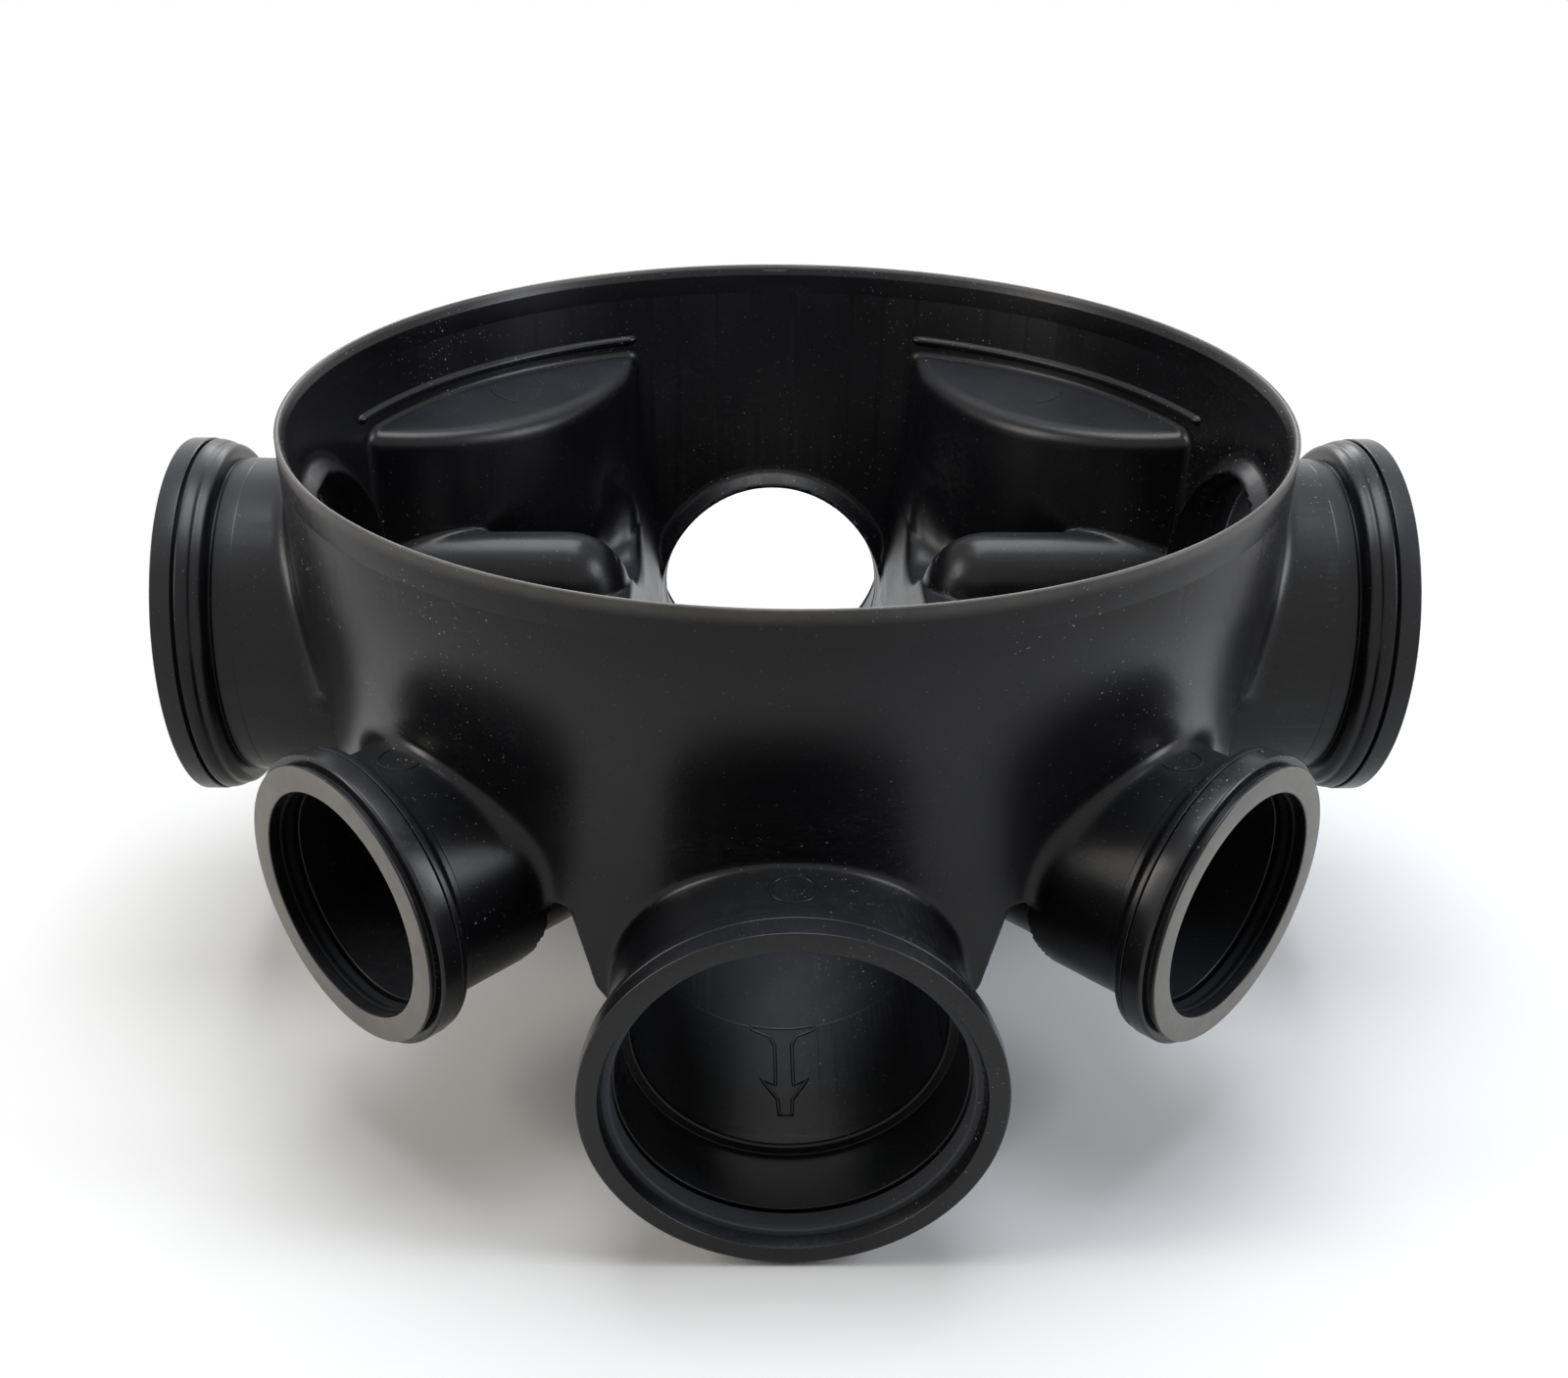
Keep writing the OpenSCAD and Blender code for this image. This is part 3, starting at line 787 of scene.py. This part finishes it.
@node_group("Dust Specks", "Amount", "Mask")
def speck_group(net, amount):
    """Fine pale dust specks scattered over a surface, as a mask."""
    where = net.coords()
    total = None
    # two sizes of speck: scale, how much is covered, radius from and to, shift
    for scale, share, low, high, seed in ((260.0, 0.52, 0.10, 0.17, 0.0),
                                          (620.0, 0.50, 0.12, 0.22, 7.0)):
        cell = net.add("TexVoronoi", feature="F1")
        shift = net.mapped(where, "Location", (seed, seed * 0.7, seed * 0.3))
        net.set(cell.inputs["Vector"], shift)
        cell.inputs["Scale"].default_value = scale
        dot = net.ramp(cell.outputs["Distance"], low, high, 1.0, 0.0)
        split = net.add("SeparateColor")
        net.set(split.inputs[0], cell.outputs["Color"])
        pick = net.ramp(split.outputs[0], 0.86, 0.92)
        patch = net.ramp(net.noise(where, 9.0, 3.0), share, share + 0.14, 0.15, 1.0)
        dot = net.times(net.times(dot, pick), patch)
        total = dot if total is None else net.math("MAXIMUM", total, dot)
    return (net.times(total, amount, True),)


@node_group("Rubbed Patches", "Amount", "Mask", "Height")
def scuff_group(net, amount):
    """Rubbed patches and fine scratches, as a mask and a height."""
    where = net.coords()
    cloud = net.ramp(net.noise(where, 7.5, 6.0, 0.62, 0.6), 0.50, 0.72)
    grain = net.noise(net.mapped(where, "Scale", (1.0, 1.0, 4.0)), 150.0, 5.0, 0.7)
    lines = net.noise(net.mapped(where, "Scale", (30.0, 4.0, 55.0)), 12.0, 3.0, 0.6, 1.4)
    line = net.ramp(net.math("ABSOLUTE", net.math("SUBTRACT", lines, 0.5)), 0.004, 0.016, 1.0, 0.0)
    line = net.times(line, net.ramp(net.noise(where, 11.0, 2.0), 0.52, 0.66))
    patch = net.times(cloud, net.ramp(grain, 0.42, 0.70))
    both = net.math("MAXIMUM", patch, net.times(line, 0.65))
    return net.times(both, amount, True), net.times(line, -1.0)


@node_group("Moulded Grain", "Scale", "Height", "Tone")
def grain_group(net, scale):
    """Texture of a moulded plastic surface, as height and broad unevenness."""
    size = net.add("VectorMath", operation="SCALE")
    net.set(size.inputs[0], net.coords())
    net.set(size.inputs["Scale"], scale)
    spot = size.outputs["Vector"]
    fine = net.noise(spot, 900.0, 3.0, 0.6)
    flow = net.noise(spot, 22.0, 4.0, 0.5, 0.4)
    height = net.math("ADD", net.times(fine, 0.25), net.times(flow, 0.75))
    return height, net.ramp(net.noise(spot, 5.0, 5.0, 0.6, 0.5), 0.3, 0.7)


@node_group("Painted Pale Sheen", "Amount", "Mask")
def painted_sheen_group(net, amount):
    """Pale painted sheen, which stands in for reflected light, on the parts of a mesh that carry
    its mark, as a mask.
    """
    where = net.coords()
    mark = net.add("Attribute", attribute_name="painted_sheen").outputs["Fac"]
    broad = net.ramp(net.noise(where, 6.0, 3.0, 0.5), 0.30, 0.62, 0.35, 1.0)
    fine = net.ramp(net.noise(where, 90.0, 5.0, 0.65), 0.25, 0.75, 0.75, 1.0)
    mask = net.times(net.times(broad, fine), net.ramp(mark, 0.55, 0.95))
    return (net.times(mask, amount, True),)


@node_group("Haze and Painted Top Light", "Amount", "Mask")
def haze_and_top_light_group(net, amount):
    """Thin bluish dust and painted light from above on surfaces that face up, as a mask."""
    normal = net.add("SeparateXYZ")
    net.set(normal.inputs[0], net.add("TexCoord").outputs["Normal"])
    # painted top light: lighter where the surface faces up
    up = net.ramp(normal.outputs[2], 0.55, 0.98)
    uneven = net.ramp(net.noise(net.coords(), 14.0, 5.0, 0.6), 0.25, 0.75, 0.55, 1.0)
    return (net.times(net.times(up, uneven), amount, True),)


# ---- materials

# bluish colour of the haze, which paints the light from above on surfaces that face up
HAZE_AND_TOP_LIGHT_COLOUR = (0.046, 0.050, 0.058)
DUST_COLOUR = (0.42, 0.42, 0.41)
# pale beige colour of the painted sheen, which stands in for reflected light
PAINTED_SHEEN_COLOUR = (0.24, 0.23, 0.208)
# how much rougher the surface gets where it is uneven, under the painted sheen, rubbed or dusty
TONE_ROUGH, PAINTED_SHEEN_ROUGH, SCUFF_ROUGH, DUST_ROUGH = 0.08, 0.25, 0.25, 0.4
RELIEF = 0.0012         # height of the surface's texture, in metres


def shader(mat):
    """A new material's node net and its surface node."""
    mat.use_nodes = True
    return Net(mat.node_tree), next(n for n in mat.node_tree.nodes if n.type == "BSDF_PRINCIPLED")


def plastic(name, base, tint, rough, specular, scuffs, dust, scale=1.0, bump=0.12, painted_sheen=0.0):
    """Dark moulded plastic with tinted unevenness, rubbed patches, dust, a haze that is also
    painted light from above, and where asked a pale painted sheen.
    """
    mat = bpy.data.materials.get(name)
    if mat:
        return mat
    mat = bpy.data.materials.new(name)
    net, bsdf = shader(mat)
    grain = net.use(grain_group(), Scale=scale)
    rubbed = net.use(scuff_group(), Amount=scuffs)
    specks = net.use(speck_group(), Amount=dust)
    haze_and_top_light = net.use(haze_and_top_light_group(), Amount=bpy.context.scene.drain_look.haze_and_top_light)
    colour = net.mix(grain["Tone"], base, tint)
    colour = net.mix(rubbed["Mask"], colour, tuple(0.045 + 0.5 * c for c in base))
    # painted top light: the haze lightens the surfaces that face up
    colour = net.mix(haze_and_top_light["Mask"], colour, HAZE_AND_TOP_LIGHT_COLOUR)
    colour = net.mix(specks["Mask"], colour, DUST_COLOUR)
    level = net.math("ADD", rough - TONE_ROUGH / 2, net.times(grain["Tone"], TONE_ROUGH))
    # painted sheen: a pale colour that stands in for reflected light
    if painted_sheen:
        pale = net.use(painted_sheen_group(), Amount=painted_sheen)
        colour = net.mix(pale["Mask"], colour, PAINTED_SHEEN_COLOUR)
        level = net.math("ADD", level, net.times(pale["Mask"], PAINTED_SHEEN_ROUGH))
    level = net.math("ADD", level, net.times(rubbed["Mask"], SCUFF_ROUGH))
    level = net.math("ADD", level, net.times(specks["Mask"], DUST_ROUGH), clamp=True)
    net.set(bsdf.inputs["Base Color"], colour)
    net.set(bsdf.inputs["Roughness"], level)
    bsdf.inputs["Specular IOR Level"].default_value = specular
    bsdf.inputs["IOR"].default_value = 1.5
    relief = net.add("Bump")
    relief.inputs["Strength"].default_value = bump
    relief.inputs["Distance"].default_value = RELIEF
    height = net.math("ADD", grain["Height"], net.times(rubbed["Height"], 0.3))
    net.set(relief.inputs["Height"], height)
    net.set(bsdf.inputs["Normal"], relief.outputs["Normal"])
    return mat


def tinted(colour, *factors):
    """A colour with each channel scaled."""
    return tuple(c * f for c, f in zip(colour, factors))


def body_plastic(name="Moulded Plastic", painted_sheen=0.0):
    """Satin plastic of the moulding."""
    look = bpy.context.scene.drain_look
    base = tuple(look.body)
    return plastic(name, base, tinted(base, 1.12, 1.05, 1.35), 0.30, 0.25,
                   look.scuffs, look.dust, painted_sheen=painted_sheen)


def rim_plastic():
    """The moulding's plastic with a thin pale painted sheen on the rim, which stands in for
    reflected light.
    """
    return body_plastic("Rim Plastic", bpy.context.scene.drain_look.painted_sheen * 0.5)


def cap_plastic(kind):
    """Smoother plastic of the caps, with a pale painted sheen on the small ones' faces, which
    stands in for reflected light.
    """
    look = bpy.context.scene.drain_look
    base = tuple(look.cap)
    painted_sheen = look.painted_sheen if kind == SMALL else 0.0
    return plastic("Cap Plastic " + kind, base, tinted(base, 1.1, 1.08, 1.25), 0.25, 0.29,
                   look.scuffs * 1.2, look.dust, 1.3, 0.08, painted_sheen)


def seal_rubber(kind):
    """Dull rubber of the seals, painted nearly black in the small sockets as painted shade, where
    they sit deep.
    """
    look = bpy.context.scene.drain_look
    # painted shade: the small sockets' seals are darkened nearly to black, and made less glossy
    share, specular = (1.0, 0.3) if kind == LARGE else (0.05, 0.07)
    base = tuple(c * share for c in look.seal)
    return plastic("Seal Rubber " + kind, base, tuple(c * 1.5 for c in base), 0.55, specular,
                   look.scuffs * 0.6, look.dust * share, 1.6, 0.2)


def background_rays(net):
    """1 for the rays that see the background: camera, glossy and transmission rays."""
    rays = net.add("LightPath").outputs
    seen = net.math("MAXIMUM", rays["Is Camera Ray"], rays["Is Glossy Ray"])
    return net.math("MAXIMUM", seen, rays["Is Transmission Ray"])


# ---- operators

def raised(name, points, faces, sharp=SHARP_RAISED):
    """A small raised form on the moulding, as a piece of its own."""
    fresh(name, closed_mesh(name, points, faces, sharp), body_plastic())


class DRAIN_OT_moulding(bpy.types.Operator):
    """Builds the one-piece chamber with its channels, benching, pipes and feet"""

    bl_idname = "drain.moulding"
    bl_label = "Moulding"

    def execute(self, context):
        s = context.scene.drain_moulding
        points, quads = surface_net(s)
        net = filled("chamber_net", project(points, s), quads)
        if len(net.polygons) < FEWEST_FACES:
            raise RuntimeError("the moulding's surface came out empty")
        mesh = self.thinned(context, net, s.triangles / (2 * len(quads)))
        p = project(coordinates(mesh), s)
        p[:, 2] = maximum(p[:, 2], 0.0)
        mesh.vertices.foreach_set("co", (p * MM).astype(np.float32).ravel())
        smooth(mesh)
        self.shade(mesh, p, s)
        fresh("chamber_moulding", mesh, body_plastic(), ("chamber_base",))
        return {"FINISHED"}

    def thinned(self, context, net, share):
        """The mesh with only a share of its triangles."""
        ob = bpy.data.objects.new("chamber_net", net)
        context.scene.collection.objects.link(ob)
        if share < 1:
            ob.modifiers.new("Decimate", "DECIMATE").ratio = share
        graph = context.evaluated_depsgraph_get()
        mesh = bpy.data.meshes.new_from_object(ob.evaluated_get(graph))
        mesh.name = "chamber_moulding"
        bpy.data.objects.remove(ob)
        bpy.data.meshes.remove(net)
        return mesh

    def shade(self, mesh, p, s):
        """Shades the mesh by the field's slope, at the vertices whose faces agree with it."""
        slope = gradient(p, s, SHADE_STEP)
        slope /= maximum(np.linalg.norm(slope, axis=1), 1e-6)[:, None]
        flat = np.empty(len(p) * 3, np.float32)
        mesh.vertex_normals.foreach_get("vector", flat)
        flat = flat.reshape(-1, 3)
        apart = (slope * flat).sum(1) <= AGREE
        slope[apart] = flat[apart]
        mesh.normals_split_custom_set_from_vertices(slope.tolist())


class DRAIN_OT_rim(bpy.types.Operator):
    """Builds the rim with its lead-in, and the beads and leaf marks of the shelves"""

    bl_idname = "drain.rim"
    bl_label = "Rim and beads"

    segments = 256
    bead_z, bead_steps = 284.5, 90
    leaf_rho, leaf_long, leaf_wide, leaf_count = 240.0, 13.0, 5.6, 40

    def execute(self, context):
        steps = context.scene.drain_sockets.round_steps
        mesh = lathe("rim_ring", RIM, upright, self.segments, steps)
        # the painted sheen lies on the top of the rim
        marked(mesh, lambda x, y, z: z > FIELD_TOP)
        fresh("rim_ring", mesh, rim_plastic())
        for side, start, end in BEADS:
            self.bead("shelf_bead_" + side, start, end)
        for side, way in LEAVES:
            self.leaf("shelf_leaf_" + side, math.radians(way))
        return {"FINISHED"}

    def bead(self, name, start, end):
        """A bead along the drum's wall that sinks into it and narrows at both ends."""
        sink, ends, least = 3.5, 30, 0.25
        pts = []
        for i in range(self.bead_steps + 1):
            u = i / self.bead_steps
            a = math.radians(start + (end - start) * u)
            grow = min(1.0, min(u, 1 - u) * ends)
            for dz, dr in BEAD_SECTION:
                r = INNER_R + dr * grow + sink * (1 - grow)
                h = self.bead_z + dz * (least + (1 - least) * grow)
                pts.append((r * math.cos(a), r * math.sin(a), h))
        faces = capped(self.bead_steps + 1, len(BEAD_SECTION))
        raised(name, pts, faces)

    def leaf(self, name, a):
        """A leaf-shaped mark on a shelf, raised a little from its slope."""
        pts = []
        for share, rise in LEAF_RINGS:
            for i in range(self.leaf_count):
                t = 2 * math.pi * i / self.leaf_count
                rho = self.leaf_rho + self.leaf_long * math.cos(t) * share
                across = self.leaf_wide * math.sin(t) * abs(math.sin(t)) ** 0.35 * share
                x = rho * math.cos(a) - across * math.sin(a)
                y = rho * math.sin(a) + across * math.cos(a)
                pts.append((x, y, shelf_top(math.hypot(x, y)) + rise))
        faces = capped(len(LEAF_RINGS), self.leaf_count)
        raised(name, pts, faces)


class DRAIN_OT_sockets(bpy.types.Operator):
    """Builds each socket's collar, with its seal housing, bulge, groove, bore and pipe stop"""

    bl_idname = "drain.sockets"
    bl_label = "Socket collars"

    def execute(self, context):
        for socket in SOCKETS:
            name = socket.name + "_collar"
            fresh(name, turned(name, COLLAR[socket.kind], socket), body_plastic())
        return {"FINISHED"}


class DRAIN_OT_caps(bpy.types.Operator):
    """Builds the clip-on caps over the sockets' seal housings"""

    bl_idname = "drain.caps"
    bl_label = "Caps"

    face_depth = 0.25

    def execute(self, context):
        for socket in SOCKETS:
            name = socket.name + "_cap_turned"
            mesh = turned(name, CAP[socket.kind], socket)
            # the painted sheen lies on the small caps' faces
            if socket.kind == SMALL:
                marked(mesh, lambda x, y, z: along(socket, x, y, z)[0] < self.face_depth)
            fresh(name, mesh, cap_plastic(socket.kind), (socket.name + "_cap",))
        return {"FINISHED"}


class DRAIN_OT_seals(bpy.types.Operator):
    """Builds the rubber ring seals with their ribs and lips"""

    bl_idname = "drain.seals"
    bl_label = "Seals"

    def execute(self, context):
        for socket in SOCKETS:
            name = socket.name + "_seal_ring"
            mesh = turned(name, self.profile(*SEAL[socket.kind]), socket)
            fresh(name, mesh, seal_rubber(socket.kind), (socket.name + "_seal",))
        return {"FINISHED"}

    def profile(self, r, lip, start, end):
        """A seal's closed profile: two outer ribs, and a lip that points inwards."""
        return (
            (start, lip + 0.6, 0.5), (start, r, 0.4), (start + 3, r, 0.4),
            (start + 4, r - 0.8, 0.4), (start + 5, r - 0.8, 0.4), (start + 6, r, 0.4),
            (end, r, 0.4), (end, r - 3, 0.5), (end - 3.5, lip + 2.4, 0.6),
            (end - 1.5, lip, 0.8), (end - 3, lip, 0.8), (start + 3.4, lip + 0.9, 0.8),
            (start + 2, lip, 0.6), (start + 0.6, lip, 0.5))


class DRAIN_OT_marks(bpy.types.Operator):
    """Builds the flow arrow in the front pipe and the round gate marks on the sockets"""

    bl_idname = "drain.marks"
    bl_label = "Arrow and marks"

    arrow_tip, arrow_step = -222.0, 2.5
    mark_count = 72

    def execute(self, context):
        self.arrow("flow_arrow")
        for socket in SOCKETS:
            if socket.name.startswith("front"):
                self.round_mark(socket.name + "_round_mark", socket)
        return {"FINISHED"}

    def outline(self):
        """Points at even steps round the arrow, and the direction out of it at each."""
        loop = np.array(ARROW_HALF + tuple((-x, y) for x, y in reversed(ARROW_HALF)), float)
        pts = []
        for a, b in zip(loop, np.roll(loop, -1, 0)):
            count = max(1, int(np.linalg.norm(b - a) / self.arrow_step))
            pts += [a + (b - a) * j / count for j in range(count)]
        pts = np.array(pts)
        tangent = np.roll(pts, -1, 0) - np.roll(pts, 1, 0)
        tangent /= np.linalg.norm(tangent, axis=1)[:, None]
        return pts, np.stack([tangent[:, 1], -tangent[:, 0]], 1)

    def arrow(self, name):
        """A raised line along the arrow's outline, on the front pipe's floor."""
        pipe = KIND[FRONT.kind]["pipe"]
        pts, outwards = self.outline()
        line = []
        for at, out in zip(pts, outwards):
            for w, h in ARROW_SECTION:
                side, ahead = at + out * w
                a, r = side / pipe, pipe - h
                line.append((r * math.sin(a), self.arrow_tip + ahead,
                             FRONT.height - r * math.cos(a)))
        faces = banded(len(pts), len(ARROW_SECTION), True)
        raised(name, line, faces)

    def round_mark(self, name, socket):
        """A raised ring on top of a socket's body."""
        size = KIND[socket.kind]
        pts = []
        for i in range(self.mark_count):
            a = 2 * math.pi * i / self.mark_count
            for radius, h in MARK_SECTION:
                angle = math.pi / 2 - radius * math.cos(a) / size["body"]
                depth = size["mark"] + radius * math.sin(a)
                pts.append(socket_point(socket, depth, size["body"] + h, angle))
        faces = banded(self.mark_count, len(MARK_SECTION), True)
        raised(name, pts, faces, None)


class DRAIN_OT_stage(bpy.types.Operator):
    """Sets the camera, the soft studio light and the white floor"""

    bl_idname = "drain.stage"
    bl_label = "Stage"

    floor_half, floor_z = 6, -0.0005
    seen_floor = (0.90, 0.90, 0.90)
    # what lights the object: a floor with painted shade round a middle, up to where it is open
    shaded_floor, open_floor = (0.16, 0.15, 0.145), (0.85, 0.85, 0.85)
    shade_y, shade_from, shade_to = 0.25, 0.45, 0.95
    fade_from, fade_to = 0.55, 1.25
    sky = 0.10
    aim = Vector((0, 0, 0.2))
    # name, place, size, power, colour
    lamps = (
        ("Top", (0.0, 0.15, 2.2), (1.4, 1.15), 38.0, (0.94, 0.97, 1.0)),
        ("Left", (-2.0, -0.5, 1.15), (0.6, 1.3), 25.0, (1.0, 0.95, 0.87)),
        ("Right", (2.0, -0.5, 1.15), (0.6, 1.3), 28.0, (0.90, 0.94, 1.0)),
        ("Back", (0.0, 2.2, 1.25), (1.5, 0.55), 15.0, (0.97, 0.98, 1.0)),
    )

    def execute(self, context):
        scene, s = context.scene, context.scene.drain_stage
        self.set_camera(scene, s)
        scene.view_settings.view_transform = "Standard"
        self.lay_floor(scene)
        self.set_world(scene, s.light)
        self.hang_lamps(scene, s.light)
        return {"FINISHED"}

    def set_camera(self, scene, s):
        """Places the camera."""
        data = bpy.data.cameras.new("Camera")
        data.sensor_width = 36.0
        data.lens, data.shift_x, data.shift_y = s.lens, s.shift_x, s.shift_y
        data.clip_start = 0.01
        camera = bpy.data.objects.new("Camera", data)
        camera.location = s.camera
        turn = Matrix.Rotation(s.yaw, 3, "Z") @ Matrix.Rotation(math.pi / 2 - s.pitch, 3, "X")
        camera.rotation_euler = (turn @ Matrix.Rotation(s.roll, 3, "Z")).to_euler()
        scene.collection.objects.link(camera)
        scene.camera = camera

    def lay_floor(self, scene):
        """Lays a floor that is seen white and fades into the world away from the object."""
        mesh = bpy.data.meshes.new("Floor")
        n = self.floor_half
        ends = [(x, y, self.floor_z) for x, y in ((-n, -n), (n, -n), (n, n), (-n, n))]
        mesh.from_pydata(ends, [], [(0, 1, 2, 3)])
        floor = bpy.data.objects.new("Floor", mesh)
        scene.collection.objects.link(floor)
        mat = bpy.data.materials.new("Pale Floor")
        net, bsdf = shader(mat)
        bsdf.inputs["Roughness"].default_value = 0.9
        bsdf.inputs["Specular IOR Level"].default_value = 0.1
        seen = background_rays(net)
        away = net.length(net.mapped(net.coords(), "Location", (0.0, self.shade_y, 0.0)))
        # painted shade: the floor that lights the object is darker round its middle, as a painted
        # shadow
        lit = net.mix(net.ramp(away, self.shade_from, self.shade_to),
                      self.shaded_floor, self.open_floor)
        net.set(bsdf.inputs["Base Color"], net.mix(seen, lit, self.seen_floor))
        fade = net.ramp(net.length(net.coords()), self.fade_from, self.fade_to)
        net.set(bsdf.inputs["Alpha"], net.math("SUBTRACT", 1.0, net.times(fade, seen)))
        mesh.materials.append(mat)

    def set_world(self, scene, light):
        """Sets a world that is seen white, but lights the object as a soft grey."""
        world = bpy.data.worlds.new("Studio")
        scene.world = world
        world.use_nodes = True
        net = Net(world.node_tree)
        sky = next(n for n in world.node_tree.nodes if n.type == "BACKGROUND")
        sky.inputs["Color"].default_value = (1, 1, 1, 1)
        level = net.add("MapRange")
        net.set(level.inputs["Value"], background_rays(net))
        level.inputs["To Min"].default_value = self.sky * light
        level.inputs["To Max"].default_value = 1.0
        net.set(sky.inputs["Strength"], level.outputs["Result"])

    def hang_lamps(self, scene, light):
        """Hangs the soft lamps round the object."""
        for name, place, size, power, colour in self.lamps:
            lamp = bpy.data.lights.new(name, "AREA")
            lamp.shape = "RECTANGLE"
            lamp.size, lamp.size_y = size
            lamp.energy = power * light
            lamp.color = colour
            ob = bpy.data.objects.new(name, lamp)
            ob.location = place
            ob.rotation_euler = (self.aim - Vector(place)).to_track_quat("-Z", "Y").to_euler()
            scene.collection.objects.link(ob)


class DRAIN_PT_panel(bpy.types.Panel):
    """Lists the steps that build the drain chamber"""

    bl_label = "Drain Chamber"
    bl_idname = "DRAIN_PT_panel"
    bl_space_type = "VIEW_3D"
    bl_region_type = "UI"
    bl_category = "Drain Chamber"

    def draw(self, context):
        layout = self.layout
        for name, steps in (
                ("drain_moulding", ("drain.moulding", "drain.rim")),
                ("drain_sockets", ("drain.sockets", "drain.caps", "drain.seals", "drain.marks")),
                ("drain_look", ()),
                ("drain_stage", ("drain.stage",))):
            box = layout.box()
            group_settings = getattr(context.scene, name)
            for key in group_settings.__annotations__:
                box.prop(group_settings, key)
            for op in steps:
                box.operator(op)


GROUPS = (
    ("drain_moulding", DrainMouldingSettings),
    ("drain_sockets", DrainSocketSettings),
    ("drain_look", DrainLookSettings),
    ("drain_stage", DrainStageSettings),
)
OPERATORS = (
    DRAIN_OT_moulding, DRAIN_OT_rim, DRAIN_OT_sockets, DRAIN_OT_caps, DRAIN_OT_seals,
    DRAIN_OT_marks, DRAIN_OT_stage,
)


def register():
    """Adds the settings, the operators and the panel."""
    for name, kind in GROUPS:
        bpy.utils.register_class(kind)
        setattr(bpy.types.Scene, name, PointerProperty(type=kind))
    for kind in OPERATORS + (DRAIN_PT_panel,):
        bpy.utils.register_class(kind)


def unregister():
    """Takes the settings, the operators and the panel away."""
    for kind in reversed(OPERATORS + (DRAIN_PT_panel,)):
        bpy.utils.unregister_class(kind)
    for name, kind in reversed(GROUPS):
        delattr(bpy.types.Scene, name)
        bpy.utils.unregister_class(kind)


def main():
    """Builds every piece in order."""
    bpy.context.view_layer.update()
    register()
    bpy.ops.drain.moulding()
    bpy.ops.drain.rim()
    bpy.ops.drain.sockets()
    bpy.ops.drain.caps()
    bpy.ops.drain.seals()
    bpy.ops.drain.marks()
    bpy.ops.drain.stage()


if __name__ == "__main__":
    main()
